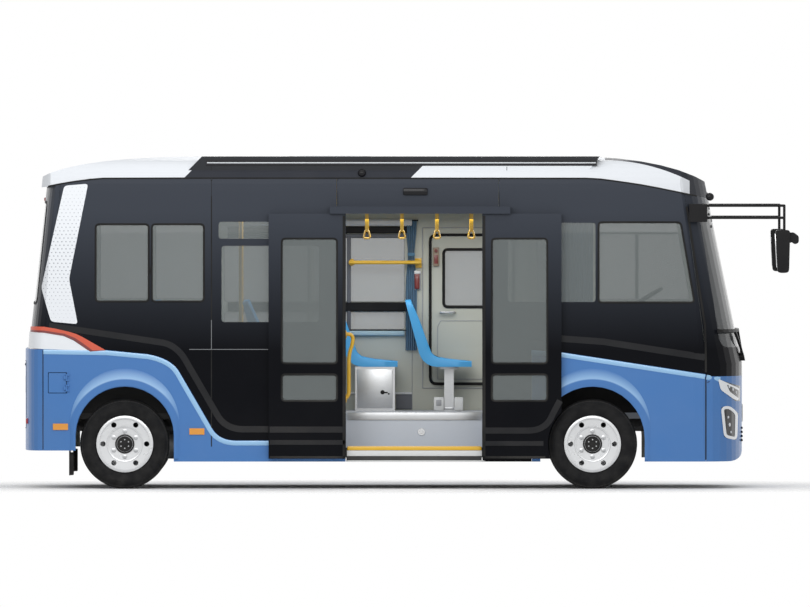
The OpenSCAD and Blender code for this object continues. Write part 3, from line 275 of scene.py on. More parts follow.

# Paint and body trim
# Dark side paint that turns grey towards the top between two heights: a painted reflection of the bright studio above
dark_paint = coated("dark_side_paint_and_painted_reflection", DARK, 0.2, specular=0.05, dust=0.006, bump=0.01, inside=BEIGE,
                    upper=(PAINTED_REFLECTION_GREY, sz(350), sz(212)))
blue_paint = coated("blue_paint", BLUE, 0.28, coat=0.06, specular=0.1, dust=0.04, bump=0.015, inside=BEIGE)
# Pale blue of the raised edges along the top of the blue panels: a painted highlight
blue_painted_highlight = coated("blue_edge_painted_highlight", rgba(0.29, 0.53, 0.80), 0.3, coat=0.5, dust=0.04)
white_paint = coated("white_paint", WHITE, 0.3, coat=0.5, dust=0.06, bump=0.015)
grey_band = coated("grey_band", rgba(0.013, 0.0135, 0.0155), 0.35, specular=0.14, dust=0.05)
red_accent = coated("red_accent", rgba(0.62, 0.075, 0.025), 0.3, coat=0.5, dust=0.05)
# Darker red: painted shade over the lower part of the red tail accents, and the plain dark red of the window hammer
# and of the release knob and pull
dark_red_and_painted_shade = coated("dark_red_and_painted_shade", rgba(0.17, 0.012, 0.010), 0.3, coat=0.5, dust=0.05)
grey_line = coated("grey_panel_line", rgba(0.16, 0.17, 0.18), 0.4, dust=0.05)
black_trim = coated("black_moulded_trim", rgba(0.008, 0.008, 0.009), 0.42, specular=0.12, dust=0.08, grain=700.0,
                    bump=0.12)
black_gloss = coated("black_gloss_cover", rgba(0.008, 0.008, 0.010), 0.14, coat=0.1, specular=0.16, dust=0.03)
rubber = coated("black_rubber_seal", rgba(0.012, 0.012, 0.012), 0.6, specular=0.12, dust=0.10, grain=500.0, bump=0.1)
# Running gear and bright metal
chassis_black = coated("chassis_black", rgba(0.028, 0.028, 0.030), 0.5, dust=0.35, grain=160.0, bump=0.15)
casting = coated("painted_casting", rgba(0.045, 0.045, 0.048), 0.55, metallic=0.4, dust=0.4, grain=140.0, bump=0.35)
alloy = coated("cast_alloy", rgba(0.46, 0.47, 0.49), 0.45, metallic=0.85, dust=0.3, grain=200.0, bump=0.25)
battery = coated("battery_case", rgba(0.06, 0.065, 0.07), 0.5, dust=0.3, grain=260.0, bump=0.1)
silver = coated("silver_wheel_paint", rgba(0.68, 0.69, 0.70), 0.27, metallic=0.45, coat=0.2, dust=0.07, scale=9.0)
chrome = coated("bright_trim", rgba(0.78, 0.79, 0.81), 0.10, metallic=1.0, dust=0.03, bump=0.0)
# Lamps
amber = coated("amber_lens", rgba(0.74, 0.29, 0.014), 0.16, coat=0.7, dust=0.04, grain=420.0, bump=0.3)
red_lens = coated("red_lens", rgba(0.42, 0.010, 0.010), 0.16, coat=0.7, dust=0.04, grain=420.0, bump=0.3)
clear_lens = coated("clear_lens", rgba(0.62, 0.65, 0.68), 0.12, coat=0.8, dust=0.03, grain=260.0, bump=0.3)
dark_lens = coated("smoked_lamp_lens", rgba(0.012, 0.012, 0.014), 0.08, coat=0.3, specular=0.2, dust=0.02,
                   grain=300.0, bump=0.05)
lamp_white = coated("lamp_frame_white", rgba(0.74, 0.76, 0.78), 0.22, metallic=0.2, coat=0.6, dust=0.02)
# Cabin
yellow = coated("yellow_tube", rgba(0.72, 0.42, 0.015), 0.3, coat=0.4, dust=0.03)
seat_blue = coated("moulded_seat_blue", rgba(0.050, 0.300, 0.600), 0.36, specular=0.35, dust=0.05, scale=6.0,
                   grain=900.0, bump=0.10)
slate = coated("slate_window_frame", rgba(0.085, 0.092, 0.110), 0.4, dust=0.04, grain=500.0, bump=0.06)
ledge_blue = coated("pale_blue_ledge", rgba(0.36, 0.50, 0.56), 0.4, dust=0.04, grain=500.0, bump=0.05)
cabin_brown = coated("cabin_brown_box", rgba(0.30, 0.22, 0.16), 0.45, dust=0.05, grain=500.0, bump=0.08)
cabin_grey = coated("cabin_grey_moulding", rgba(0.33, 0.34, 0.36), 0.55, dust=0.05, grain=600.0, bump=0.12)
cabin_white = coated("cabin_white_panel", rgba(0.66, 0.67, 0.67), 0.5, dust=0.04, grain=500.0, bump=0.08)


def past_slope(tree, x, z, mark):
    """How far a place is ahead of an edge that climbs forward at 45 degrees from a mark at the roof's foot."""
    return minus(tree, minus(tree, x, z), sx(mark) - sz(178))


def filmed(tree, shader, colour, dust, bump, **more):
    """Road film over a colour, linked to the shader; gives the film's node."""
    surface = use_group(tree, film, Color=colour, Dust=dust, **more)
    tree.links.new(surface.outputs["Color"], shader.inputs["Base Color"])
    if bump:
        bumped(tree, shader, surface.outputs["Height"], bump)
    return surface


def roof_finish():
    """White roof with a dark stretch on its sides between the two white ones, and a black brow at the front."""
    mat, tree, shader = finish("roof_paint", 0.5, specular=0.1)
    x, _, z = spot(tree)
    run_out = largest(tree, minus(tree, x, sx(605)), 0.0)
    fall = times(tree, times(tree, run_out, run_out), 0.348)
    brow = times(tree, is_over(tree, plus(tree, z, fall), sz(160.8)), is_over(tree, run_out, 0.0))
    ahead = largest(tree, brow, is_over(tree, x, sx(689)))
    middle = times(tree, is_over(tree, past_slope(tree, x, z, 185), 0.0),
                   is_under(tree, past_slope(tree, x, z, 411), 0.0))
    dark = largest(tree, times(tree, middle, is_under(tree, z, 2.705)), ahead)
    surface = use_group(tree, film, Color=mix_colour(tree, dark, WHITE, rgba(0.030, 0.033, 0.042)), Dust=0.05)
    under = ramp(tree, spot(tree, "Normal")[2], -0.35, -0.5)
    tree.links.new(mix_colour(tree, under, surface.outputs["Color"], rgba(0.62, 0.63, 0.62)),
                   shader.inputs["Base Color"])
    tree.links.new(ramp(tree, under, 0.0, 1.0, 0.5, 0.6), shader.inputs["Roughness"])
    bumped(tree, shader, surface.outputs["Height"], 0.015)
    return mat


def fairing_finish():
    """Dark roof fairing whose lower face is white ahead of a sloping edge."""
    mat, tree, shader = finish("fairing_paint", 0.2, coat=0.1, specular=0.16)
    x, _, z = spot(tree)
    white = times(tree, is_over(tree, past_slope(tree, x, z, 411), 0.0), is_under(tree, z, sz(166.4)))
    filmed(tree, shader, mix_colour(tree, white, rgba(0.010, 0.012, 0.016), WHITE), 0.04, 0.015)
    return mat


def pierced_finish():
    """White plate pierced by rows of small slots that get smaller towards its ends; the slots are grey spots of
    painted shade over a bump.
    """
    mat, tree, shader = finish("pierced_white_plate", 0.32, coat=0.4)
    x, _, z = spot(tree)
    row = divided(tree, z, 0.030)
    shift = times(tree, math_node(tree, "MODULO", math_node(tree, "FLOOR", row), 2.0), 0.5)
    across = plus(tree, divided(tree, x, 0.034), shift)
    a = minus(tree, math_node(tree, "FRACT", row), 0.5)
    b = minus(tree, math_node(tree, "FRACT", plus(tree, across, 200.0)), 0.5)
    size = ramp(tree, absolute(tree, minus(tree, z, 1.95)), 0.1, 0.5, 0.034, 0.006)
    hole = is_under(tree, plus(tree, times(tree, a, a), times(tree, b, b)), size)
    # The slots are coloured grey: painted shade inside the holes
    filmed(tree, shader, mix_colour(tree, hole, WHITE, rgba(0.42, 0.44, 0.48)), 0.05, None)
    bumped(tree, shader, minus(tree, 1.0, hole), 0.5, 0.002)
    return mat


def glass_finish(name, colour, alpha, rough=0.03):
    """Tinted glass that a thin film of dust makes duller."""
    mat, tree, shader = finish(name, rough, specular=0.5)
    mask = filmed(tree, shader, colour, 0.05, None, Scale=2.0).outputs["Mask"]
    tree.links.new(ramp(tree, mask, 0.0, 0.1, rough, rough + 0.04), shader.inputs["Roughness"])
    tree.links.new(ramp(tree, mask, 0.0, 0.2, alpha, min(1.0, alpha + 0.12)), shader.inputs["Alpha"])
    return mat


def tyre_finish(name, centre_x):
    """Tyre rubber: rings on the walls, ribs and cross cuts on the tread, grey dust on the tread, and painted shade
    that darkens the grooves and rings.
    """
    mat, tree, shader = finish(name, 0.72, specular=0.12)
    x, y, z = spot(tree)
    dx, dz = minus(tree, x, centre_x), minus(tree, z, AXLE_Z)
    radius = distance(tree, dx, dz)
    angle = math_node(tree, "ARCTAN2", dz, dx)
    tread = is_over(tree, radius, 0.352)
    rings = ramp(tree, sine(tree, times(tree, radius, 420.0)), 0.7, 0.95)
    rings = times(tree, rings, is_over(tree, radius, 0.315))
    ribs = ramp(tree, sine(tree, times(tree, y, 185.0)), -0.75, -0.5)
    cuts = ramp(tree, sine(tree, times(tree, angle, 78.0)), -0.95, -0.85)
    relief = add(tree, "Mix", {0: tread, 2: minus(tree, 1.0, times(tree, rings, 0.35)),
                               3: times(tree, ribs, cuts)}).outputs[0]
    black = mix_colour(tree, tread, rgba(0.008, 0.0082, 0.009), rgba(0.018, 0.018, 0.018))
    surface = use_group(tree, film, Color=black, Dust=0.04, Scale=14.0, Grain=500.0)
    # Painted shade: the low places of the relief, the grooves and rings, are darkened towards black
    tree.links.new(mix_colour(tree, ramp(tree, relief, 0.0, 1.0, 0.6, 0.0), surface.outputs["Color"],
                              rgba(0.004, 0.004, 0.004)), shader.inputs["Base Color"])
    tree.links.new(ramp(tree, surface.outputs["Mask"], 0.0, 0.2, 0.66, 0.85), shader.inputs["Roughness"])
    bumped(tree, shader, relief, 0.8, 0.006)
    return mat


def brushed_finish():
    """Stainless sheet with fine lengthwise scratches."""
    mat, tree, shader = finish("brushed_stainless", 0.34, metallic=0.9)
    drawn = add(tree, "Mapping", {"Vector": add(tree, "TexCoord").outputs["Object"], "Scale": (3.0, 3.0, 260.0)})
    streaks = add(tree, "TexNoise", {"Vector": drawn.outputs[0], "Scale": 4.0, "Detail": 6.0}).outputs[0]
    filmed(tree, shader, mix_colour(tree, streaks, rgba(0.44, 0.45, 0.46), rgba(0.62, 0.63, 0.64)), 0.05, None)
    tree.links.new(ramp(tree, streaks, 0.3, 0.7, 0.26, 0.44), shader.inputs["Roughness"])
    bumped(tree, shader, streaks, 0.08)
    return mat


def floor_finish():
    """Flecked grey floor sheet with plain risers, and black outer edges and underside."""
    mat, tree, shader = finish("flecked_floor_sheet", 0.55)
    at = add(tree, "TexCoord").outputs["Object"]
    fleck = ramp(tree, add(tree, "TexVoronoi", {"Vector": at, "Scale": 130.0}).outputs[0], 0.14, 0.22)
    turn = spot(tree, "Normal")[2]
    riser = is_under(tree, turn, 0.5)
    outer = is_over(tree, absolute(tree, spot(tree)[1]), 0.75)
    edge = largest(tree, is_under(tree, turn, -0.5), times(tree, riser, outer))
    sheet = mix_colour(tree, fleck, rgba(0.52, 0.53, 0.56), rgba(0.30, 0.31, 0.33))
    sheet = mix_colour(tree, riser, sheet, rgba(0.52, 0.56, 0.62))
    filmed(tree, shader, mix_colour(tree, edge, sheet, rgba(0.008, 0.008, 0.008)), 0.10, None)
    bumped(tree, shader, fleck, 0.15)
    return mat


def at_axle(tree, x, rear, front):
    """One value over the rear half of the bus and another over the front half."""
    return ramp(tree, x, -0.01, 0.01, rear, front)


def wheel_box_finish():
    """Wheel boxes: plain grey sheet to the cabin, black underseal to the wheel."""
    mat, tree, shader = finish("wheel_box_sheet", 0.6, specular=0.3)
    x, y, z = spot(tree)
    turn_x, turn_y, turn_z = spot(tree, "Normal")
    from_axle = minus(tree, x, at_axle(tree, x, REAR_AXLE, FRONT_AXLE))
    inward = plus(tree, times(tree, from_axle, turn_x), times(tree, minus(tree, z, AXLE_Z), turn_z))
    outward = times(tree, math_node(tree, "SIGN", y), turn_y)
    wheel_side = largest(tree, is_under(tree, inward, -0.02), is_over(tree, outward, 0.5))
    filmed(tree, shader, mix_colour(tree, wheel_side, rgba(0.42, 0.42, 0.40), rgba(0.006, 0.006, 0.006)), 0.06, 0.2)
    return mat


def arch_finish():
    """Blue paint with a painted highlight: paler along the crest of the wheel arches, fading out above it."""
    mat, tree, shader = finish("blue_arch_painted_highlight", 0.28, coat=0.06, specular=0.1)
    x, _, z = spot(tree)
    dx = minus(tree, x, at_axle(tree, x, REAR_AXLE, FRONT_AXLE))
    dz = minus(tree, z, at_axle(tree, x, ARCH_TOP - REAR_ARCH, ARCH_TOP - FRONT_ARCH))
    crest = at_axle(tree, x, REAR_ARCH + 0.057, FRONT_ARCH + 0.057)
    above = minus(tree, distance(tree, dx, dz), crest)
    # Painted highlight: the paler blue peaks just above the crest and fades out upwards and towards the feet
    highlight_fade = times(tree, ramp(tree, above, 0.004, 0.088, 1.0, 0.0), ramp(tree, above, 0.0, 0.010))
    highlight_fade = times(tree, highlight_fade, ramp(tree, dz, 0.12, 0.36))
    filmed(tree, shader, mix_colour(tree, highlight_fade, BLUE, PAINTED_HIGHLIGHT_BLUE), 0.04, 0.015)
    return mat


def cloth_finish(name, dark, light, scale):
    """Woven cloth of two thread colours."""
    mat, tree, shader = finish(name, 0.85, specular=0.2)
    shader.inputs["Sheen Weight"].default_value = 0.3
    threads = use_group(tree, weave, Scale=scale)
    tree.links.new(mix_colour(tree, threads.outputs["Mask"], dark, light), shader.inputs["Base Color"])
    bumped(tree, shader, threads.outputs["Height"], 0.35)
    return mat


window_glass = glass_finish("tinted_window_glass", rgba(0.18, 0.205, 0.205), 0.52)
screen_glass = glass_finish("windscreen_glass", rgba(0.040, 0.047, 0.052), 0.70)
tyre_front, tyre_rear = tyre_finish("front_tyre_rubber", FRONT_AXLE), tyre_finish("rear_tyre_rubber", REAR_AXLE)
steel, floor_sheet = brushed_finish(), floor_finish()
curtain_cloth = cloth_finish("curtain_cloth", rgba(0.060, 0.150, 0.245), rgba(0.150, 0.290, 0.420), 260.0)
seat_cloth = cloth_finish("driver_seat_cloth", rgba(0.030, 0.034, 0.042), rgba(0.085, 0.095, 0.115), 320.0)

# Finish of each solid: its own, or else that of its material slot
FINISHES = {
    "chassis_black": chassis_black, "spring_steel": chassis_black, "cast_axle": casting, "motor_alloy": alloy,
    "battery_case": battery, "floor_grey": floor_sheet, "white_paint": roof_finish(), "dark_paint": dark_paint,
    "blue_paint": blue_paint, "black_trim": black_trim, "white_trim": pierced_finish(), "screen_glass": screen_glass,
    "window_glass": window_glass, "lamp_lens": clear_lens, "red_lens": red_lens, "amber_lens": amber,
    "black_rubber": rubber, "seat_fabric": seat_cloth, "seat_blue": seat_blue, "bare_steel": steel,
    "yellow_tube": yellow, "curtain_cloth": curtain_cloth, "rim_silver": silver, "tyre": tyre_front}
SLOTS = {row["node"]: row["material_slot"] for row in frame["record"]["subparts"]}
OWN = {"tyre_rear_left": tyre_rear, "tyre_rear_right": tyre_rear, "roof_fairings": fairing_finish(),
       "front_lamps": dark_lens, "wheel_boxes": wheel_box_finish()}
for name, obj in frame["nodes"].items():
    material = OWN.get(name, FINISHES[SLOTS[name]])
    if not obj.material_slots:
        obj.data.materials.append(material)
    for place in obj.material_slots:
        place.material = material


def piece(name, bm, body, slot, *materials, sharp=35):
    """Finished piece from a bmesh: closed, smooth up to an angle, riding on a body."""
    bmesh.ops.remove_doubles(bm, verts=bm.verts, dist=1e-5)
    bmesh.ops.recalc_face_normals(bm, faces=bm.faces)
    mesh = bpy.data.meshes.new(name)
    bm.to_mesh(mesh)
    bm.free()
    for material in materials:
        mesh.materials.append(material)
    mesh.shade_smooth()
    mesh.set_sharp_from_angle(angle=math.radians(sharp))
    obj = bpy.data.objects.new(name, mesh)
    scene.collection.objects.link(obj)
    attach(obj, body)
    return obj


def key(co):
    """Place rounded to a micron, to find a point again."""
    return tuple(round(c, 6) for c in co)


def of_kind(geom, kind):
    return [g for g in geom if isinstance(g, kind)]


def carry(bm, edges, before, after):
    """Extrudes edges from one row of points to the next; gives the new row's edges and the faces between."""
    place = {key(a): b for a, b in zip(before, after)}
    geom = bmesh.ops.extrude_edge_only(bm, edges=edges)["geom"]
    for v in of_kind(geom, BMVert):
        v.co = place[key(v.co)]
    ends = {key(p) for p in after}
    row = [e for e in of_kind(geom, BMEdge) if all(key(v.co) in ends for v in e.verts)]
    return row, of_kind(geom, BMFace)


def sweep(bm, stations, closed=False, material=0):
    """Carries a ring of points through stations, edge by edge; open sweeps get end caps."""
    verts = [bm.verts.new(p) for p in stations[0]]
    first = [bm.edges.new((verts[i], verts[(i + 1) % len(verts)])) for i in range(len(verts))]
    made = []
    if not closed:
        made.append(bm.faces.new(verts))
    ring = first
    for before, after in zip(stations, stations[1:]):
        ring, faces = carry(bm, ring, before, after)
        made += faces
    if closed:
        made += bmesh.ops.bridge_loops(bm, edges=ring + first)["faces"]
    else:
        made += bmesh.ops.edgeloop_fill(bm, edges=ring)["faces"]
    for face in made:
        face.material_index = material


def dense(path, closed=False, step=0.16):
    """Path with points added so that no stretch is longer than a step."""
    out = []
    ends = path[1:] + path[:1] if closed else path[1:]
    for a, b in zip(path, ends):
        count = max(1, math.ceil((b - a).length / step))
        out += [a.lerp(b, k / count) for k in range(count)]
    return out if closed else out + [path[-1]]


def sides_of(path, closed):
    """Point and mitred left-hand normal along a path of the side view."""
    path = [p for i, p in enumerate(path) if i == 0 or (p - path[i - 1]).length > 1e-4]
    if closed and (path[0] - path[-1]).length < 1e-4:
        path = path[:-1]
    out = []
    for i, p in enumerate(path):
        before = path[i - 1] if closed or i else None
        after = path[(i + 1) % len(path)] if closed or i < len(path) - 1 else None
        a = (p - before).normalized() if before is not None else (after - p).normalized()
        b = (after - p).normalized() if after is not None else a
        d = (a + b).normalized()
        out.append((p, Vector((-d.y, d.x)) / max(0.5, d.dot(a))))
    return out


def moulding(bm, path, profile, side, base=None, closed=False, material=0):
    """Strip over a wall along a side view path.

    profile lists (offset to the left of the path, rise off the skin)."""
    base = base or skin_y
    stations = []
    for p, n in sides_of(dense(path, closed), closed):
        ring = []
        for offset, rise in profile:
            q = p + n * offset
            ring.append(Vector((q.x, side * (base(q.x, q.y) + rise), q.y)))
        stations.append(ring)
    sweep(bm, stations, closed, material)


def ribbon(bm, path, a, b, side, lift=-0.001, thick=0.004, base=None, closed=False, material=0):
    """Flat strip with its edges at offsets a and b from a path, and eased shoulders."""
    edge = min(abs(b - a) * 0.2, thick * 0.6)
    top = lift + thick
    profile = [(a, lift), (a, top - edge), (a + edge, top), (b - edge, top), (b, top - edge), (b, lift)]
    moulding(bm, path, profile, side, base, closed, material)


def plate(bm, points, side, lift=-0.001, thick=0.004, base=None, material=0):
    """Plate with a side view outline, laid over a wall."""
    base = base or skin_y
    flat = bmesh.new()
    flat.faces.new([flat.verts.new((p[0], 0, p[1])) for p in points])
    cuts = [((0, 0, z), (0, 0, 1)) for z in (TUCK_Z, BELT_Z, CANT_Z)]
    for end, way in ((TAIL_X, 1), (NOSE_X, -1)):
        steps = [0.012 * k for k in range(1, 21)] + [0.24 + 0.03 * k for k in range(1, 8)]
        cuts += [((end + way * step, 0, 0), (1, 0, 0)) for step in steps]
    for place, way in cuts:
        bmesh.ops.bisect_plane(flat, geom=flat.verts[:] + flat.edges[:] + flat.faces[:], plane_co=place,
                               plane_no=way)
    low = flat.verts[:]
    made = bmesh.ops.extrude_face_region(flat, geom=flat.faces[:])["geom"]
    high = of_kind(made, BMVert)
    for verts, rise in ((low, lift), (high, lift + thick)):
        for v in verts:
            v.co.y = side * (base(v.co.x, v.co.z) + rise)
    join(bm, flat, material)


def join(bm, other, material):
    """Adds a finished shape to a bmesh, in one of its materials."""
    for face in other.faces:
        face.material_index = material
    mesh = bpy.data.meshes.new("part")
    other.to_mesh(mesh)
    other.free()
    bm.from_mesh(mesh)
    bpy.data.meshes.remove(mesh)


def block(bm, low, high, edge=0.004, material=0, turn=None):
    """Box between two corners with rounded edges."""
    low, high = Vector(low), Vector(high)
    made = bmesh.new()
    bmesh.ops.create_cube(made, size=1.0, matrix=Matrix.LocRotScale((low + high) / 2, None, high - low))
    bmesh.ops.bevel(made, geom=made.edges[:], offset=edge, offset_type="OFFSET", segments=2, profile=0.5,
                    affect="EDGES", material=-1)
    if turn:
        bmesh.ops.transform(made, verts=made.verts, matrix=turn)
    join(bm, made, material)


def turned(bm, outline, place, material=0, steps=48):
    """Ring or knob: an outline of (radius, height) spun about +Z, then put in place by a matrix."""
    made = bmesh.new()
    verts = [made.verts.new((r, 0, h)) for r, h in outline]
    for a, b in zip(verts, verts[1:]):
        made.edges.new((a, b))
    bmesh.ops.spin(made, geom=made.verts[:] + made.edges[:], axis=(0, 0, 1), cent=(0, 0, 0), angle=math.tau,
                   steps=steps, use_merge=True)
    bmesh.ops.remove_doubles(made, verts=made.verts, dist=1e-6)
    bmesh.ops.transform(made, verts=made.verts, matrix=place)
    join(bm, made, material)


def tube(bm, points, r, sides=14, material=0):
    """Round bar through points."""
    points = [Vector(p) for p in points]
    stations = []
    across = None
    for i, p in enumerate(points):
        d = (points[min(i + 1, len(points) - 1)] - points[max(i - 1, 0)]).normalized()
        if across is None:
            across = d.orthogonal().normalized()
        across = (across - d * across.dot(d)).normalized()
        up = d.cross(across)
        stations.append([p + (across * math.cos(a) + up * math.sin(a)) * r for a in
                         (math.tau * k / sides for k in range(sides))])
    sweep(bm, stations, False, material)


def facing(direction, place):
    """Matrix that puts +Z along a direction at a place."""
    return Matrix.Translation(place) @ Vector(direction).to_track_quat("Z", "Y").to_matrix().to_4x4()


def window_path(row, r=0.028):
    """Outline of a window given as shares: rear, front, lower, upper edge and slope of the front edge."""
    rear, front, low, high, slope = row
    low, high = low * ROOF_Z, high * ROOF_Z
    return rounded([(along(rear), low), (along(front), low), (along(front - slope), high), (along(rear), high)], r)


def toward_camera(mark, y, height):
    """Matrix that puts +Z towards the entrance's side, at a mark, a width and a height."""
    return facing((0, -1, 0), (sx(mark), y, sz(height)))


# Sides: bands, edges with a painted highlight, accents with painted shade, arch lips with a painted highlight, and
# panel lines
LEAF_RISE = 0.058


def leaf_y(x, z):
    """Half width of the outer face of the open entrance leaves."""
    return wall_y(z) + LEAF_RISE


def on_sides(name, slot, build, *materials, sides=(-1, 1)):
    """One piece on the bus whose shapes are built on each side in turn."""
    bm = bmesh.new()
    for side in sides:
        build(bm, side)
    piece(name, bm, "bus", slot, *materials)


def run(*stretches):
    """Path made of marks and of curves between marks: a stretch of three marks is a curve."""
    out = []
    for stretch in stretches:
        points = marks(*stretch)
        out += arc(*points) if len(points) == 3 else points
    return out


def swoosh_end(side):
    """Mark where the rear band ends: at the entrance, or on the other side at the front panel."""
    return 345 if side < 0 else 531


def grey_bands(bm, side):
    ribbon(bm, run([(50, 325.6), (80, 330)], [(164, 342.6), (179, 346), (187.5, 362.5)],
                   [(217.5, 414), (225.5, 428.4), (243, 428.8)], [(swoosh_end(side), 428.8)]), -0.027, 0.027, side)
    ribbon(bm, marks((531, 336), (561, 338.5), (603, 341.6), (652, 349.2), (704, 357.2)), -0.028, 0.028, side)


def painted_highlight_edges(bm, side):
    # Rounded rib along the top edge of the blue panels, coloured with a painted highlight
    edge = [(-0.041, -0.001), (-0.041, 0.002), (-0.033, 0.006), (-0.012, 0.007), (-0.003, 0.004),
            (-0.002, -0.001)]
    moulding(bm, run([(44.5, 349), (107.6, 350)], [(148.5, 353.9), (171, 357.9), (179.4, 370.5)],
                     [(213, 428.4), (220, 440), (236.8, 440)], [(swoosh_end(side), 440)]), edge, side)
    moulding(bm, marks((531, 349.6), (561, 352), (704.5, 373.9)), edge, side)
    moulding(bm, marks((706, 374.2), (720, 376.6)), edge, side)


ARCH_STEPS, FOOT_STEPS = 40, 2


def arch_lip(bm, side, axle, radius, feet, swell):
    """Raised lip round a wheel arch that slopes back to the side, wide over the wheel and narrow at its feet."""
    centre = ARCH_TOP - radius
    edge = [(0.0, -0.002), (0.0, 0.011), (0.006, 0.014), (0.056, 0.014), (0.075, 0.0125), (0.150, 0.001),
            (0.152, -0.002)]
    stations = []
    for k in range(-FOOT_STEPS, ARCH_STEPS + FOOT_STEPS + 1):
        turn = math.pi * (1 - k / ARCH_STEPS)
        foot = 0.0
        if k < 0:
            turn, foot = math.pi, (centre - feet[0]) * -k / FOOT_STEPS
        elif k > ARCH_STEPS:
            turn, foot = 0.0, (centre - feet[1]) * (k - ARCH_STEPS) / FOOT_STEPS
        wide = 0.30 + 0.70 * max(0.0, math.sin(turn)) ** 1.3
        ring = []
        for offset, rise in edge:
            reach = radius + offset * wide
            x, z = axle + reach * math.cos(turn), centre + reach * math.sin(turn) - foot
            grow = 1 if rise < 0 else swell * (0.45 + 0.55 * wide)
            ring.append(Vector((x, side * (skin_y(x, z) + rise * grow), z)))
        stations.append(ring)
    sweep(bm, stations)


def arch_lips(bm, side):
    arch_lip(bm, side, REAR_AXLE, REAR_ARCH, (0.318, 0.250), 2.0)
    arch_lip(bm, side, FRONT_AXLE, FRONT_ARCH, (0.250, 0.240), 1.0 if side < 0 else 2.0)


def red_accents(bm, side):
    plate(bm, marks((31.4, 326.3), (44.9, 326.6), (57, 328.6), (69.8, 331.6), (77, 333.8), (83, 336.6),
                    (106.5, 350), (91.3, 350.6), (83, 345), (74.7, 339.4), (64.8, 335.4), (45, 332),
                    (31.0, 331.4)), side, thick=0.006)


def red_painted_shade_plates(bm, side):
    # Darker plate over the lower part of each red accent: painted shade
    plate(bm, marks((31.2, 330), (45, 330.4), (65.5, 333.6), (76, 337.8), (84, 343.2), (93.5, 350.2),
                    (106.5, 350), (91.3, 351.4), (83, 345.8), (74.7, 340), (64.8, 335.8), (45, 332.6),
                    (31.0, 331.8)), side, lift=0.001, thick=0.006)


def tail_plates(bm, side):
    plate(bm, marks((30.2, 331.6), (45, 332.6), (64.5, 335.8), (74.3, 340.2), (89.5, 350.4), (60, 349.4), (44, 348.8),
                    (29, 348)), side)


def panel_lines(bm, side):
    for path in (level(349.2, 190, 268.5), upright(212.0, 348.8, 320)):
        ribbon(bm, path, -0.003, 0.003, side, thick=0.003)


on_sides("side_grey_bands", "black_trim", grey_bands, grey_band)
on_sides("side_edge_painted_highlights", "blue_paint", painted_highlight_edges, blue_painted_highlight)
on_sides("wheel_arch_lips", "blue_paint", arch_lips, arch_finish())
on_sides("tail_red_accents", "red_lens", red_accents, red_accent)
on_sides("tail_red_painted_shade", "red_lens", red_painted_shade_plates, dark_red_and_painted_shade)
on_sides("tail_white_plates", "white_paint", tail_plates, white_paint)
on_sides("rear_panel_lines", "white_trim", panel_lines, grey_line)


def leaf_bands(bm, side):
    for path, half in ((level(429, 270, 345), 0.026), (level(441.8, 270, 345), 0.020),
                       (run([(484, 430)], [(528, 430), (546, 430), (552, 414)], [(559.5, 400)]), 0.026),
                       (level(442.8, 484, 543), 0.020)):
        ribbon(bm, path, -half, half, side, base=leaf_y)


def leaf_edges(bm, side):
    """Rubber strips down the closing edges and drip strips along the feet of the leaves."""
    for mark in (344.3, 483.7):
        ribbon(bm, upright(mark, 457, 216), -0.013, 0.013, side, base=leaf_y)
    for ends in ((270, 346), (482, 545)):
        ribbon(bm, level(456.6, *ends), -0.010, 0.010, side, base=leaf_y)


SEAL = [(0.004, -0.002), (0.004, 0.002), (-0.001, 0.004), (-0.008, 0.004), (-0.012, 0.001), (-0.012, -0.002)]


def leaf_glass_seals(bm, side):
    for rear, front in ((0.3588, 0.4343), (0.6504, 0.7261)):
        for low, high in ((0.3789, 0.7517), (0.2659, 0.3429)):
            moulding(bm, window_path((rear, front, low, high, 0)), SEAL, side, leaf_y, True)


on_sides("leaf_grey_bands", "black_trim", leaf_bands, grey_band, sides=(-1,))
on_sides("leaf_edge_rubbers", "black_rubber", leaf_edges, rubber, sides=(-1,))
on_sides("leaf_glass_seals", "black_rubber", leaf_glass_seals, rubber, sides=(-1,))


# Wheels: hub caps, nuts and bright rings
def hex_nut(bm, place, r, h):
    """Six-sided nut with eased top edges."""
    made = bmesh.new()
    bmesh.ops.create_cone(made, cap_ends=True, segments=6, radius1=r, radius2=r, depth=h,
                          matrix=Matrix.Translation((0, 0, h / 2)))
    bmesh.ops.bevel(made, geom=[e for e in made.edges if all(v.co.z > h / 2 for v in e.verts)], offset=r * 0.14,
                    segments=2, profile=0.5, affect="EDGES", material=-1)
    bmesh.ops.transform(made, verts=made.verts, matrix=place)
    join(bm, made, 0)


NUTS, NUT_CIRCLE, NUT_Z, BOLT_CIRCLE, BOLT_Z = 6, 0.106, 0.0655, 0.036, 0.0930
CAP = [(0, 0.062), (0.080, 0.062), (0.080, 0.071), (0.077, 0.076), (0.066, 0.079), (0.063, 0.092), (0.058, 0.0955),
       (0.052, 0.0955), (0.050, 0.094), (0.022, 0.0935), (0.019, 0.097), (0, 0.098)]
WASHER = [(0, 0), (0.020, 0), (0.020, 0.003), (0.017, 0.005), (0, 0.005)]
STUD = [(0, 0.017), (0.0085, 0.017), (0.0085, 0.026), (0.007, 0.028), (0, 0.028)]
BOLT = [(0, 0), (0.0055, 0), (0.0050, 0.003), (0, 0.0035)]
INNER_RING = [(0.134, 0.0690), (0.140, 0.0735), (0.148, 0.0745), (0.152, 0.0705), (0.152, 0.0680), (0.134, 0.0665),
              (0.134, 0.0690)]
OUTER_RING = [(0.2095, 0.0740), (0.2095, 0.0885), (0.2125, 0.0910), (0.230, 0.0910), (0.2335, 0.0890),
              (0.2335, 0.0875), (0.2105, 0.0875), (0.2105, 0.0740), (0.2095, 0.0740)]
WHEELS = (("fl", FRONT_AXLE, 1), ("fr", FRONT_AXLE, -1), ("rl", REAR_AXLE, 1), ("rr", REAR_AXLE, -1))
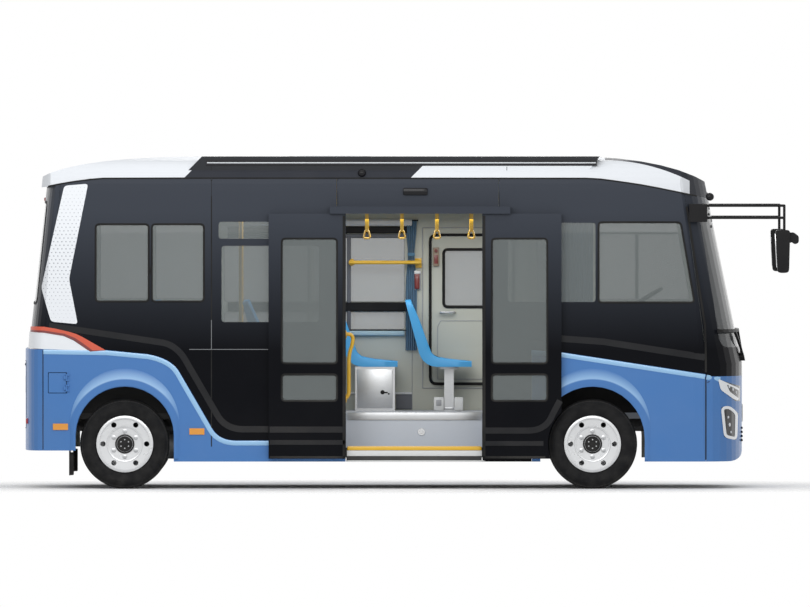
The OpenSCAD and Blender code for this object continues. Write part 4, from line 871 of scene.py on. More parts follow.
for name, axle, side in WHEELS:
    hub = facing((0, side, 0), (axle, side * WHEEL_Y, AXLE_Z))
    caps, nuts, ring = bmesh.new(), bmesh.new(), bmesh.new()
    turned(caps, CAP, hub)
    for k in range(NUTS):
        turn = math.tau * (k + 0.5) / NUTS
        way = Vector((math.cos(turn), math.sin(turn), 0))
        place = hub @ Matrix.Translation(way * NUT_CIRCLE + Vector((0, 0, NUT_Z)))
        turned(nuts, WASHER, place, 0, 20)
        hex_nut(nuts, place @ Matrix.Translation((0, 0, 0.004)), 0.0145, 0.014)
        turned(nuts, STUD, place, 0, 16)
        turned(nuts, BOLT, hub @ Matrix.Translation(way * BOLT_CIRCLE + Vector((0, 0, BOLT_Z))), 0, 12)
    piece("hub_cap_" + name, caps, "wheel_" + name, "black_trim", black_trim)
    piece("wheel_nuts_" + name, nuts, "wheel_" + name, "rim_silver", steel)
    turned(ring, INNER_RING, hub, 0, 72)
    turned(ring, OUTER_RING, hub, 0, 96)
    piece("wheel_rings_" + name, ring, "wheel_" + name, "rim_silver", silver)


# Cabin, seen through the entrance: far wall, emergency door, step and fittings
WALL, FLOOR_Z, STEP_Y = 0.045, 0.626, -0.665
STEP_ENDS = sx(347.4), sx(481.4)


def inner_wall(x, z):
    """Half width inside the side walls."""
    return wall_y(z) - WALL


def far_strip(bm, path, a, b, thick, closed=False, material=0):
    """Strip on the inner face of the left wall, standing into the cabin by its thickness."""
    edge = min(abs(b - a) * 0.25, thick * 0.5)
    profile = [(a, 0.001), (a, edge - thick), (a + edge, -thick), (b - edge, -thick), (b, edge - thick), (b, 0.001)]
    moulding(bm, path, profile, 1, inner_wall, closed, material)


def far_band(bm, mark_a, mark_b, top, foot, thick, material=0):
    """Level strip on the far wall between two stations and two heights."""
    half, middle = (sz(top) - sz(foot)) / 2, (top + foot) / 2
    far_strip(bm, level(middle, mark_a, mark_b), -half, half, thick, False, material)


def fitting(name, slot, build, *materials, body="bus"):
    """One piece from a function that builds it."""
    bm = bmesh.new()
    build(bm)
    piece(name, bm, body, slot, *materials)


def ceiling_strips(bm):
    """Strip under the ceiling, and the capping and duct at the foot of the wall."""
    far_band(bm, 240, 412, 220.6, 227.2, 0.030)
    far_band(bm, 396, 412, 395.2, 397.4, 0.014)
    far_band(bm, 396, 412, 397.4, 412.4, 0.010, 1)
    far_band(bm, 346, 396, 395.2, 397.4, 0.008)


def window_frames(bm):
    for top, foot, thick, material in ((227.6, 235.0, 0.018, 0), (304.2, 313.6, 0.016, 0), (235.4, 239.0, 0.010, 1),
                                       (332.0, 333.0, 0.010, 0)):
        far_band(bm, 226, 407, top, foot, thick, material)
    far_strip(bm, upright(308.2, 332, 236), -0.014, 0.014, 0.012)
    far_strip(bm, upright(348.4, 332, 236), -0.016, 0.016, 0.012, False, 1)


def window_ledge(bm):
    far_band(bm, 226, 404.5, 333.2, 338.4, 0.034)


def wall_lines(bm):
    far_strip(bm, upright(412.2, 412, 240), -0.0025, 0.0025, 0.004)
    for path in (upright(422.8, 391, 229), level(229, 422.8, 524), level(391, 422.8, 524)):
        far_strip(bm, path, -0.004, 0.004, 0.006)


def exit_gasket(bm):
    """Rubber that closes the gap round the emergency door from inside, fixed to the frame."""
    profile = [(-0.012, -0.0005), (-0.012, -0.012), (-0.004, -0.016), (0.010, -0.012), (0.012, -0.0005)]
    moulding(bm, window_path((0.5648, 0.6817, 0.3063, 0.7603, 0), 0.055), profile, 1, inner_wall, True)


def exit_window_seals(bm):
    path = window_path((0.585, 0.6615, 0.5438, 0.713, 0))
    far_strip(bm, path, -0.020, 0.004, 0.012, True)
    moulding(bm, path, SEAL, 1, None, True)


def exit_fittings(bm):
    """Pull handle and pressed lines on the inside of the emergency door."""
    y, z = inner_wall(0, sz(314)), sz(314.4)
    bar = ((441, 0.002), (441, -0.030), (442, -0.034), (454, -0.034), (455, -0.030), (455, 0.002))
    tube(bm, [(sx(mark), y + rise, z) for mark, rise in bar], 0.009)
    for path in (level(323, 441, 508), level(382, 438, 510), marks((438, 382), (438, 329), (441, 323))):
        far_strip(bm, path, -0.003, 0.003, 0.004, False, 1)


def exit_release(bm):
    """Box with the emergency door's release knob and pull."""
    y = inner_wall(0, sz(258))
    block(bm, (sx(433.4), y - 0.022, sz(268)), (sx(439.4), y + 0.001, sz(249)), 0.006)
    turned(bm, [(0, 0), (0.014, 0), (0.014, 0.012), (0.010, 0.018), (0, 0.018)],
           toward_camera(436.4, y - 0.021, 252.4), 1, 20)
    block(bm, (sx(434.6), y - 0.027, sz(265.4)), (sx(438.2), y - 0.02, sz(256.4)), 0.003, 1)


def wall_hammer(bm):
    """Red window hammer in its holder on the pillar."""
    y = inner_wall(0, sz(280)) - 0.002
    block(bm, (sx(413.6), y - 0.010, sz(292)), (sx(421), y + 0.004, sz(273)), 0.004, 1)
    block(bm, (sx(414.6), y - 0.030, sz(291)), (sx(419.8), y - 0.008, sz(275)), 0.008)
    block(bm, (sx(414.2), y - 0.034, sz(275.6)), (sx(421), y - 0.008, sz(272.4)), 0.006, 2)


def bar_bracket(bm):
    """Bracket and end collars of the bar across the far window."""
    y = inner_wall(0, sz(264.6))
    block(bm, (sx(414.8), y - 0.008, sz(269.6)), (sx(421.8), y + 0.001, sz(259.8)), 0.003)
    for mark in (351, 416.6):
        turned(bm, [(0.016, 0.002), (0.030, 0.002), (0.030, 0.008), (0.022, 0.014), (0.016, 0.014), (0.016, 0.002)],
               facing((0, -1, 0), (sx(mark), y, 0.6767 * ROOF_Z)), 0, 24)
    tube(bm, [(sx(419), y - 0.004, sz(264)), (sx(418), y - 0.054, sz(264)), (sx(414), y - 0.060, sz(264))], 0.012)


fitting("ceiling_side_strips", "white_trim", ceiling_strips, cabin_white, slate)
fitting("far_window_frames", "black_trim", window_frames, black_trim, slate)
fitting("far_window_ledge", "white_trim", window_ledge, ledge_blue)
fitting("far_wall_lines", "white_trim", wall_lines, cabin_grey)
fitting("exit_door_gasket", "black_rubber", exit_gasket, rubber)
fitting("exit_window_seals", "black_rubber", exit_window_seals, rubber, body="exit_door")
fitting("exit_door_handle", "bare_steel", exit_fittings, steel, cabin_grey, body="exit_door")
fitting("exit_release_box", "black_trim", exit_release, cabin_brown, dark_red_and_painted_shade, body="exit_door")
fitting("window_hammer", "red_lens", wall_hammer, dark_red_and_painted_shade, cabin_grey, cabin_white)
fitting("window_bar_bracket", "yellow_tube", bar_bracket, yellow)


def step_edges(bm):
    """Bright edge of the deck and the strips at the foot of the entrance."""
    x0, x1 = STEP_ENDS
    block(bm, (x0, STEP_Y - 0.010, 0.566), (x1, STEP_Y + 0.004, FLOOR_Z + 0.004), 0.004)
    block(bm, (x0, STEP_Y - 0.010, FLOOR_Z - 0.004), (x1, STEP_Y + 0.060, FLOOR_Z + 0.004), 0.002)
    block(bm, (x0 - 0.004, -1.044, 0.272), (x1 + 0.004, -1.030, 0.319), 0.004, 1)
    block(bm, (x0 - 0.004, -1.048, 0.224), (x1 + 0.03, -1.030, 0.236), 0.003, 1)
    turned(bm, [(0, 0.008), (0.012, 0.008), (0.015, 0.003), (0.029, 0.003), (0.031, 0.0), (0.031, -0.002),
                (0, -0.002)], toward_camera(421.4, STEP_Y - 0.006, 432), 2, 32)


def step_nosing(bm):
    x0, x1 = STEP_ENDS
    block(bm, (x0, -1.046, 0.320), (x1, -0.985, 0.352), 0.006)
    for k in range(4):
        block(bm, (x0 + 0.01, -1.036 + k * 0.012, 0.350), (x1 - 0.01, -1.031 + k * 0.012, 0.354), 0.0015)


def entrance_handle(bm):
    """Bent handrail on the rear edge of the entrance."""
    y = -0.940
    path = marks((343, 334.5), (349, 334.0))
    path += arc(*marks((349, 334.0), (353.4, 335), (353.0, 340)), 6)[1:]
    path += arc(*marks((352, 346), (349, 352), (349, 364)), 6)
    path += arc(*marks((349, 390), (349, 398.4), (343, 398.4)), 6)
    tube(bm, [(p.x, y, p.y) for p in path], 0.016)
    for k in (334.5, 398.4):
        turned(bm, [(0, 0.002), (0.034, 0.002), (0.034, 0.008), (0.018, 0.012), (0, 0.012)],
               facing((1, 0, 0), (sx(346) - 0.003, y, sz(k))), 0, 24)


def strap_rings(bm):
    """Hand loops at the ends of the hanging straps."""
    loop = rounded([(-0.030, -0.070), (0.030, -0.070), (0.012, 0.0), (-0.012, 0.0)], 0.02, 5)
    turns = [math.tau * k / 10 for k in range(10)]
    for side in (-1, 1):
        for share in (0.476, 0.525, 0.574, 0.622):
            top = Vector((along(share), side * 0.416, 0.835 * ROOF_Z - 0.160))
            ring = []
            for i, p in enumerate(loop):
                d = (loop[(i + 1) % len(loop)] - loop[i - 1]).normalized()
                out, spot_on = Vector((-d.y, 0, d.x)) * 0.007, top + Vector((p.x, 0, p.y))
                ring.append([spot_on + out * math.cos(a) + Vector((0, 0.009 * math.sin(a), 0)) for a in turns])
            sweep(bm, ring, True)


fitting("entrance_strips", "bare_steel", step_edges, steel, cabin_white, silver)
fitting("step_nosing", "yellow_tube", step_nosing, yellow)
fitting("entrance_handle", "yellow_tube", entrance_handle, yellow)
fitting("hand_loops", "yellow_tube", strap_rings, yellow)


SEAT_Y, SEAT_Z = 0.718, FLOOR_Z + 0.372
CABINET_SEAT, FRONT_SEAT = 0.4554, 0.5594
# Seats: share of the length, and place across the bus in shares of SEAT_Y
SEATS = [(0.0726, -0.92), (0.0726, -0.308), (0.0726, 0.308), (0.0726, 0.92), (0.2078, -1), (0.2078, 1), (0.333, -1),
         (0.333, 1), (CABINET_SEAT, 1), (FRONT_SEAT, 1)]


def seat_studs(bm):
    """Plate at the head and flange at the foot of each seat's post."""
    for share, across in SEATS:
        x, y = along(share), across * SEAT_Y
        if share != CABINET_SEAT:
            block(bm, (x + 0.11, y - 0.11, SEAT_Z - 0.022), (x + 0.27, y + 0.11, SEAT_Z + 0.001), 0.004)
            block(bm, (x + 0.138, y - 0.052, FLOOR_Z + 0.010), (x + 0.242, y + 0.052, FLOOR_Z + 0.026), 0.006)


def cabinet_door(bm):
    """Pressed door and lock of the cabinet under one seat."""
    x, y = along(CABINET_SEAT), SEAT_Y - 0.210
    low, high = x + 0.023 + 0.018, x + 0.357 - 0.020
    block(bm, (low, y - 0.005, FLOOR_Z + 0.022), (high, y + 0.002, SEAT_Z - 0.022), 0.004)
    turned(bm, [(0, 0.008), (0.010, 0.008), (0.018, 0.004), (0.018, 0.0), (0, 0.0)],
           toward_camera(382.4, y - 0.004, 394.4), 1, 24)
    turned(bm, [(0, 0.006), (0.006, 0.006), (0.008, 0.003), (0.008, 0.0), (0, 0.0)],
           toward_camera(388.6, y - 0.004, 396), 1, 16)
    block(bm, (sx(383), y - 0.010, sz(395.4)), (sx(387.6), y - 0.004, sz(394)), 0.002, 1)


def post_base(bm):
    """White box round the foot of the front seat's post."""
    x, y = along(FRONT_SEAT) + 0.19, SEAT_Y
    block(bm, (x - 0.128, y - 0.10, FLOOR_Z), (x - 0.044, y + 0.02, FLOOR_Z + 0.112), 0.006)
    block(bm, (x + 0.044, y - 0.10, FLOOR_Z), (x + 0.118, y + 0.02, FLOOR_Z + 0.112), 0.006)
    block(bm, (x - 0.108, y - 0.103, FLOOR_Z + 0.040), (x - 0.064, y - 0.098, FLOOR_Z + 0.090), 0.003, 1)


def lap_belt(bm):
    """Belt lying over the front seat, with its tongue."""
    x, z = along(FRONT_SEAT), SEAT_Z + 0.030
    path = [(0.010, 0.075), (0.05, 0.070), (0.11, 0.045), (0.19, 0.012), (0.23, 0.004)]
    web = ((-0.024, -0.001), (0.024, -0.001), (0.024, 0.002), (-0.024, 0.002))
    for y in (SEAT_Y - 0.13, SEAT_Y - 0.06):
        sweep(bm, [[Vector((x + px, y + dy, z + pz + dz)) for dy, dz in web] for px, pz in path])
    block(bm, (x - 0.012, SEAT_Y - 0.165, z + 0.035), (x + 0.030, SEAT_Y - 0.095, z + 0.110), 0.008, 1)


fitting("seat_mounts", "bare_steel", seat_studs, steel)
fitting("cabinet_door", "bare_steel", cabinet_door, steel, black_trim)
fitting("post_foot_box", "white_trim", post_base, cabin_white, cabin_grey)
fitting("lap_belt", "black_rubber", lap_belt, rubber, cabin_white)


# Soft pieces: rolled seat edges, gathered curtains and the driver's padded seat
SEAT_THICK, SEAT_LONG, SEAT_HIGH, SEAT_LEAN, SEAT_HALF, SEAT_CORNER = 0.028, 0.380, 0.560, 0.150, 0.212, 0.070
EDGE_T, EDGE_FOOT = 0.026, -0.031
# Height of a seat's rolled edge over the share of its length from the head of the back
EDGE_H = [(0.0, 0.016), (0.2, 0.044), (0.5, 0.066), (0.64, 0.062), (0.8, 0.034), (1.0, 0.014)]


def seat_line():
    """Side view of a seat's sitting face, from the head of the back down and forward to the front edge."""
    return ([Vector((-SEAT_LEAN * k / 6, SEAT_HIGH * k / 6)) for k in (6, 5, 4, 3, 2)]
            + arc((-0.22 * SEAT_LEAN, 0.22 * SEAT_HIGH), (0, SEAT_THICK), (0.26 * SEAT_LONG, SEAT_THICK))
            + [Vector((SEAT_LONG * k / 5, SEAT_THICK)) for k in (2, 3, 4, 5)])


def between(table, value):
    """Value of a table of steps at a place between two of them."""
    for (a, low), (b, high) in zip(table, table[1:]):
        if value <= b:
            return low + (high - low) * (value - a) / (b - a)
    return table[-1][1]


def rolled_edges(bm):
    """Raised rounded edges down both sides of each moulded seat."""
    path = sides_of(dense(seat_line(), False, 0.03), False)
    last = len(path) - 1
    for share, across in SEATS:
        x0, y0 = along(share), across * SEAT_Y
        for side in (-1, 1):
            stations = []
            for i, (p, n) in enumerate(path):
                top = max(0.0, SEAT_CORNER - (SEAT_HIGH - p.y))
                half = SEAT_HALF - SEAT_CORNER + math.sqrt(max(0.0, SEAT_CORNER ** 2 - (top * 0.96) ** 2))
                rise = between(EDGE_H, i / last)
                roll = ((0, EDGE_FOOT), (0, rise * 0.6), (0.006, rise * 0.92), (0.013, rise), (0.020, rise * 0.92),
                        (EDGE_T, rise * 0.6), (EDGE_T, EDGE_FOOT))
                spots = [(inset, p + n * up) for inset, up in roll]
                stations.append([Vector((x0 + q.x, y0 + side * (half - inset), SEAT_Z + q.y)) for inset, q in spots])
            sweep(bm, stations)


fitting("seat_rolled_edges", "seat_blue", rolled_edges, seat_blue)


CLOTH_ROWS, FOLD_STEPS, FOLD_DEPTH, CLOTH_GAP = 48, 12, 0.0095, 0.0142


def gathered_cloth(name, shares, side, folds, tie):
    """Curtain hanging in folds along an inner wall, drawn together where it is tied."""
    low_x, high_x = (along(share) for share in shares[:2])
    low_z, high_z = (share * ROOF_Z for share in shares[2:])
    middle = (low_x + high_x) / 2
    rows = []
    for k in range(CLOTH_ROWS + 1):
        z = high_z + (low_z - high_z) * k / CLOTH_ROWS
        pull = math.exp(-((z - tie) / 0.16) ** 2) if tie else 0.0
        loose = (high_z - z) / (high_z - low_z)
        wide = (high_x - low_x) * (1 - 0.42 * pull)
        row = []
        for c in range(folds * FOLD_STEPS + 1):
            u = c / (folds * FOLD_STEPS)
            wave = math.sin(math.tau * folds * u + 0.5 * math.sin(3.0 * z + 5.0 * u)) * (FOLD_DEPTH + 0.0022 * loose)
            wave += 0.0018 * math.sin(math.tau * 1.7 * u + 4.0 * z)
            row.append(Vector((middle + (u - 0.5) * wide, side * (inner_wall(0, z) - CLOTH_GAP + wave), z)))
        rows.append(row)
    bm = bmesh.new()
    verts = [bm.verts.new(p) for p in rows[0]]
    hem = [bm.edges.new(pair) for pair in zip(verts, verts[1:])]
    for before, after in zip(rows, rows[1:]):
        hem, _ = carry(bm, hem, before, after)
    cloth = piece(name, bm, "bus", "curtain_cloth", curtain_cloth, sharp=180)
    rail = bmesh.new()
    y = side * (inner_wall(0, high_z) - 0.015)
    tube(rail, [(low_x - 0.012, y, high_z + 0.004), (high_x + 0.012, y, high_z + 0.004)], 0.006)
    if tie:
        half = (high_x - low_x) * 0.29 + 0.003
        block(rail, (middle - half, side * (inner_wall(0, tie) - 0.0275), tie - 0.014),
              (middle + half, side * (inner_wall(0, tie) - 0.0245), tie + 0.014), 0.001, 1)
    fittings = piece(name + "_rail", rail, "bus", "black_trim", black_trim, curtain_cloth)
    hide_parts(name.replace("_cloth", ""))


gathered_cloth("curtain_left_cloth", (0.5300, 0.5460, 0.408, 0.803), 1, 5, sz(256))
gathered_cloth("curtain_right_cloth", (0.7400, 0.7900, 0.552, 0.812), -1, 9, None)


# Driver's seat: cushion and back swell as stuffed covers, then get their sewn channels
DRIVER = Vector((1.4795, 0.416, 1.016))
CELL, PRESSURE, STEPS, SWELL, CHANNEL_DEPTH, CHANNEL_W = 0.006, 4.0, 20, 0.014, 0.007, 0.009


def keep_shape(obj):
    """Takes what the modifiers make as the piece's own mesh."""
    made = bpy.data.meshes.new_from_object(obj.evaluated_get(bpy.context.evaluated_depsgraph_get()))
    obj.modifiers.clear()
    obj.data = made


def stuffed_cover(name, outline, half, face, channels):
    """Padded piece from a side view outline.

    channels are (axis, place) lines sewn into the side that looks along face."""
    bm = bmesh.new()
    flat = bm.faces.new([bm.verts.new(DRIVER + Vector((a, -half, b))) for a, b in outline])
    made = bmesh.ops.extrude_face_region(bm, geom=[flat])["geom"]
    bmesh.ops.translate(bm, verts=of_kind(made, BMVert), vec=(0, 2 * half, 0))
    bmesh.ops.recalc_face_normals(bm, faces=bm.faces)
    bmesh.ops.bevel(bm, geom=bm.edges[:], offset=0.018, offset_type="OFFSET", segments=3, profile=0.5,
                    affect="EDGES", material=-1, clamp_overlap=True)
    obj = piece(name, bm, "bus", "seat_fabric", seat_cloth, sharp=180)
    cells = obj.modifiers.new("even_cells", "REMESH")
    cells.mode, cells.voxel_size = "VOXEL", CELL
    keep_shape(obj)
    start = [v.co.copy() for v in obj.data.vertices]
    cover = obj.modifiers.new("stuffing", "CLOTH")
    cover.settings.use_pressure = True
    cover.settings.uniform_pressure_force = PRESSURE
    cover.settings.effector_weights.gravity = 0.0
    cover.point_cache.frame_start, cover.point_cache.frame_end = 1, STEPS
    for step in range(1, STEPS + 1):
        scene.frame_set(step)
    keep_shape(obj)
    scene.frame_set(1)
    for v, was in zip(obj.data.vertices, start):
        move = v.co - was
        if move.length > SWELL:
            v.co = was + move * (SWELL / move.length)
    for v in obj.data.vertices:
        toward = v.normal.dot(Vector(face))
        if toward > 0.2:
            at = v.co - DRIVER
            dip = max(math.exp(-(at[axis] - place) ** 2 / CHANNEL_W ** 2) for axis, place in channels)
            v.co -= v.normal * CHANNEL_DEPTH * dip * min(1.0, toward * 1.6)
    obj.data.shade_smooth()
    skin = obj.modifiers.new("smooth_skin", "SUBSURF")
    skin.levels = skin.render_levels = 1
    return obj


seat_pad = stuffed_cover("driver_seat_cushion", [(0.040, 0.014), (0.456, 0.014), (0.456, 0.086), (0.060, 0.098)],
                         0.216, (0, 0, 1), [(1, -0.135), (1, 0.135), (0, 0.310)])
stuffed_cover("driver_seat_back", [(0.006, 0.128), (-0.066, 0.676), (-0.158, 0.676), (-0.092, 0.128)],
              0.214, (1, 0, 0.13), [(1, -0.135), (1, 0.135), (2, 0.470)])
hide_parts("driver_seat")


def driver_seat_shell(bm):
    """Base tray, side hinge covers and front lever of the driver's seat."""
    x, y, z = DRIVER
    block(bm, (x + 0.050, y - 0.205, z - 0.004), (x + 0.440, y + 0.205, z + 0.016), 0.006)
    for side in (-1, 1):
        edge = y + side * 0.226
        block(bm, (x - 0.085, edge - 0.010, z + 0.020), (x + 0.095, edge + 0.010, z + 0.130), 0.008)
        turned(bm, [(0, 0), (0.026, 0), (0.026, 0.006), (0.022, 0.009), (0, 0.009)],
               facing((0, side, 0), (x - 0.010, edge + side * 0.006, z + 0.085)), 0, 24)
    tube(bm, [(x + 0.44, y - 0.10, z + 0.004), (x + 0.47, y - 0.10, z - 0.004), (x + 0.47, y + 0.10, z - 0.004),
              (x + 0.44, y + 0.10, z + 0.004)], 0.006, 10)


fitting("driver_seat_shell", "black_trim", driver_seat_shell, black_trim)


# Windows: seals, sliding frames and latches
# Panes as shares of length and height: those of both sides, then those of the left side alone
SHARED_PANES = [(0.1003, 0.1727, 0.565, 0.7946, 0), (0.1783, 0.2493, 0.565, 0.7946, 0),
                (0.7987, 0.9304, 0.5619, 0.8006, 0.0188)]
LEFT_PANES = [(0.2744, 0.394, 0.5559, 0.7523, 0), (0.2744, 0.394, 0.4713, 0.5257, 0),
              (0.4, 0.5292, 0.5559, 0.7523, 0), (0.4, 0.5292, 0.4713, 0.5257, 0),
              (0.7150, 0.7939, 0.5619, 0.8006, 0)]


def window_seals(bm, side):
    for row in SHARED_PANES + (LEFT_PANES if side > 0 else []):
        moulding(bm, window_path(row), SEAL, side, None, True)


def window_latches(bm, side):
    """Small grip on the sliding pane beside each divider."""
    for mark, height in ((150.8, 270), (639.3, 268))[:1 if side < 0 else 2]:
        x, z = sx(mark), sz(height)
        y = skin_y(x, z) - 0.004
        low, high = sorted((side * y, side * (y + 0.011)))
        block(bm, (x - 0.009, low, z - 0.032), (x + 0.009, high, z + 0.032), 0.004)


def window_dividers(bm, side):
    """Sliding pane's frame in the driver's window."""
    ribbon(bm, upright(639.3, 301, 236), -0.014, 0.014, side)
    ribbon(bm, level(234.5, 600, 686), -0.010, 0.010, side)


on_sides("window_seals", "black_rubber", window_seals, rubber)
on_sides("window_dividers", "black_trim", window_dividers, slate, sides=(1,))
on_sides("window_latches", "black_trim", window_latches, black_trim)


# Seams between the body panels
def seam_lines(bm, side):
    seams = [(upright(44.05, 449, 350), 0.004, 0.0022), (upright(705.0, 459, 377), 0.005, 0.0022),
             (marks((706.5, 382), (718, 378.4)), 0.003, 0.0022), (upright(499, 222, 180), 0.0025, 0.0016),
             (upright(338, 206, 180), 0.0025, 0.0016), (upright(212, 446, 180), 0.005, 0.0016),
             (marks((705.0, 372), (704.8, 349), (704.1, 325.8), (691, 239.6), (686, 207)), 0.009, 0.0020)]
    if side > 0:
        seams.append((upright(531, 452, 181), 0.005, 0.0016))
    for path, half, thick in seams:
        ribbon(bm, path, -half, half, side, thick=thick)


on_sides("panel_seams", "black_rubber", seam_lines, rubber)


# Front lamps: bright frames, dark lenses and light points
def lamp_frames(bm, side):
    plate(bm, rounded(marks((717.2, 378.4), (739.4, 388.6), (738.6, 401.2), (733, 399), (720, 389.6)), 0.02), side,
          lift=-0.002, thick=0.009)
    plate(bm, rounded(marks((726.4, 384.4), (739.2, 390.8), (738.6, 398.4), (729.4, 391.4)), 0.012), side,
          lift=-0.002, thick=0.012, material=1)
    fog = marks((720.9, 407.2), (728.8, 406.2), (737.2, 413.2), (736.4, 439.6), (724, 436.6))
    slim = [(-0.006, -0.002), (-0.006, 0.005), (0.0, 0.008), (0.014, 0.008), (0.018, 0.003), (0.018, -0.002)]
    moulding(bm, rounded(fog[::-1], 0.035), slim, side, None, True)


def lamp_points(bm, side):
    for mark, height, r in ((728.6, 386.6, 0.013), (732.4, 389.4, 0.013), (735.6, 392.6, 0.012), (727.6, 417, 0.011),
                            (729, 424.5, 0.016), (730.4, 432, 0.011)):
        x, z = sx(mark), sz(height)
        y = skin_y(x, z) + (0.009 if height < 400 else 0.0)
        way = Vector((skin_y(x, z) - skin_y(x + 0.004, z), side * 0.004, 0)).normalized()
        turned(bm, [(0, -0.004), (r, -0.004), (r, 0.002), (r * 0.8, 0.004), (0, 0.0055)],
               facing(way, (x, side * y, z)), 0, 16)


on_sides("front_lamp_frames", "rim_silver", lamp_frames, lamp_white, dark_lens)
on_sides("front_lamp_points", "lamp_lens", lamp_points, clear_lens)


# Lamp over the entrance, and the small cameras on the sides
def header_lamp(bm):
    block(bm, (sx(403), -1.012, sz(195.6)), (sx(427.5), -0.985, sz(188.4)), 0.010)


def side_cameras(bm, side):
    for mark, height, forward in ((362, 173.5, 0), (709, 197, 0.25)):
        x, z = sx(mark), sz(height)
        y = skin_y(x, z)
        turned(bm, [(0, -0.02), (0.030, -0.02), (0.034, 0.002), (0.032, 0.016), (0.024, 0.028), (0.012, 0.034),
                    (0, 0.035)], facing((forward, side, -0.25), (x, side * y, z)), 0, 28)


fitting("entrance_lamp", "black_trim", header_lamp, black_gloss)
on_sides("side_cameras", "black_trim", side_cameras, black_gloss)


# Roof: light lines on the fairings, dark joint below the roof, hatch
def fairing_y(x, z):
    """Half width of the fairings' outer face."""
    return 0.915 * HALF_W


def fairing_lines(bm, side):
    """Dark strip along each fairing with a light line in its middle."""
    ribbon(bm, level(163.35, 206.5, 596.5), -0.0255, 0.0255, side, base=fairing_y)
    ribbon(bm, level(163.35, 207.5, 595.5), -0.0048, 0.0048, side, thick=0.008, base=fairing_y, material=1)


def roof_joints(bm, side):
    path = run([(49, 186.8), (75, 181), (104, 178.8)])
    path += marks((180, 178.6), (585, 178.8), (600, 179.6), (613, 181.3), (626, 183.1), (640, 185.2), (656, 188.2),
                  (671, 191.2), (696, 196.4))
    ribbon(bm, path, -0.006, 0.006, side)
    for mark in (212, 506.6):
        ribbon(bm, upright(mark, 178, 167.2), -0.0025, 0.0025, side, thick=0.002, base=fairing_y)


def roof_hatch(bm):
    """Hatch lid over its seal, low on the crown of the roof."""
    _, crown, _, _ = frame["nodes"]["roof"].ray_cast(Vector((-0.68, 0, 4)), Vector((0, 0, -1)))
    z = crown.z
    block(bm, (-1.02, -0.36, z - 0.03), (-0.34, 0.36, z + 0.001), 0.004, 1)
    block(bm, (-0.99, -0.33, z - 0.02), (-0.37, 0.33, z + 0.003), 0.004)
    for y in (-0.22, 0.22):
        block(bm, (-0.90, y - 0.018, z), (-0.46, y + 0.018, z + 0.005), 0.002)


on_sides("fairing_light_lines", "black_trim", fairing_lines, black_gloss, clear_lens)
on_sides("roof_joints", "black_rubber", roof_joints, rubber)
fitting("roof_hatch", "white_paint", roof_hatch, white_paint, rubber)


# Nose and tail: strips and plates that follow the solids behind them
END_NODES = {-1: ("rear_wall", "rear_bumper", "rear_glass", "tail_lamps"),
             1: ("front_mask", "front_bumper", "windscreen", "front_lamps")}


def end_x(y, z, end):
    """Station of the nose's or the tail's face at a width and a height."""
    reach = []
    for shift in (0.0, 0.008, -0.008):
        start = Vector((4.5 * end, y + shift, z + shift))
        for name in END_NODES[end]:
            hit, place, _, _ = frame["nodes"][name].ray_cast(start, Vector((-end, 0, 0)))
            if hit:
                reach.append(place.x)
    return max(reach) if end > 0 else min(reach)


def end_strip(bm, path, profile, end, closed=True, material=0):
    """Strip along a path of (width, height) on the nose or the tail."""
    stations = []
    for p, n in sides_of(dense(path, closed, 0.08), closed):
        spots = [(p + n * offset, rise) for offset, rise in profile]
        stations.append([Vector((end_x(q.x, q.y, end) + end * rise, q.x, q.y)) for q, rise in spots])
    sweep(bm, stations, closed, material)


def end_block(bm, y, z, wide, high, end, lift=0.010, edge=0.004, material=0):
    """Plate on the nose or the tail, sunk to the lowest point of the face behind it."""
    faces = [end_x(y + a * wide / 2, z + b * high / 2, end) for a in (-0.9, 0, 0.9) for b in (-0.9, 0, 0.9)]
    back, front = (min(faces) - 0.004, max(faces) + lift) if end > 0 else (min(faces) - lift, max(faces) + 0.004)
    block(bm, (back, y - wide / 2, z - high / 2), (front, y + wide / 2, z + high / 2), edge, material)


def box_outline(half, low, high, r, upper=None):
    """Box with rounded corners on the nose or the tail, narrower at its head where upper says so."""
    upper = upper or half
    return rounded([(-half, low), (half, low), (upper, high), (-upper, high)], r)


FLAT_LINE = [(-0.003, -0.001), (-0.003, 0.0015), (0.003, 0.0015), (0.003, -0.001)]


def tail_seals(bm):
    end_strip(bm, box_outline(0.80 * HALF_W, 0.56 * ROOF_Z, 0.86 * ROOF_Z, 0.05, 0.76 * HALF_W),
              [(a * 1.5, b) for a, b in SEAL], -1)
    end_strip(bm, box_outline(0.70, 0.50, 1.06, 0.05), FLAT_LINE, -1)


def tail_fittings(bm):
    end_block(bm, 0, 0.86, 0.47, 0.165, -1, 0.002, 0.004)
    end_block(bm, 0, 0.86, 0.44, 0.140, -1, 0.004, 0.003, 1)
    end_block(bm, 0, 1.015, 0.30, 0.034, -1, 0.005, 0.005)
    end_block(bm, 0, 0.575, 0.22, 0.040, -1, 0.005, 0.005)
    for y in (-0.55, 0.55):
        end_block(bm, y, 1.03, 0.060, 0.020, -1, 0.005)


def tail_reflectors(bm):
    for y in (-0.76, 0.76):
        end_block(bm, y, 0.56, 0.11, 0.045, -1, 0.003, 0.005)
    end_block(bm, 0, 2.405, 0.42, 0.030, -1, 0.012, 0.006)


def nose_fittings(bm):
    end_block(bm, 0, 0.62, 0.47, 0.150, 1, 0.002, 0.004)
    end_block(bm, 0, 0.62, 0.44, 0.126, 1, 0.004, 0.003, 1)
    for k in range(4):
        end_block(bm, 0, 0.395 + 0.034 * k, 0.96 - 0.03 * k, 0.018, 1, 0.001, 0.004)


def mirror_glasses(bm, side):
    place = Matrix.Translation((along(1.045) - 0.003, side * 1.003, 0.7165 * ROOF_Z))
    place = place @ Matrix.Rotation(math.radians(-3.0), 4, "Y")
    block(bm, (-0.002, -0.080, -0.140), (0.003, 0.080, 0.140), 0.002, 0, place)


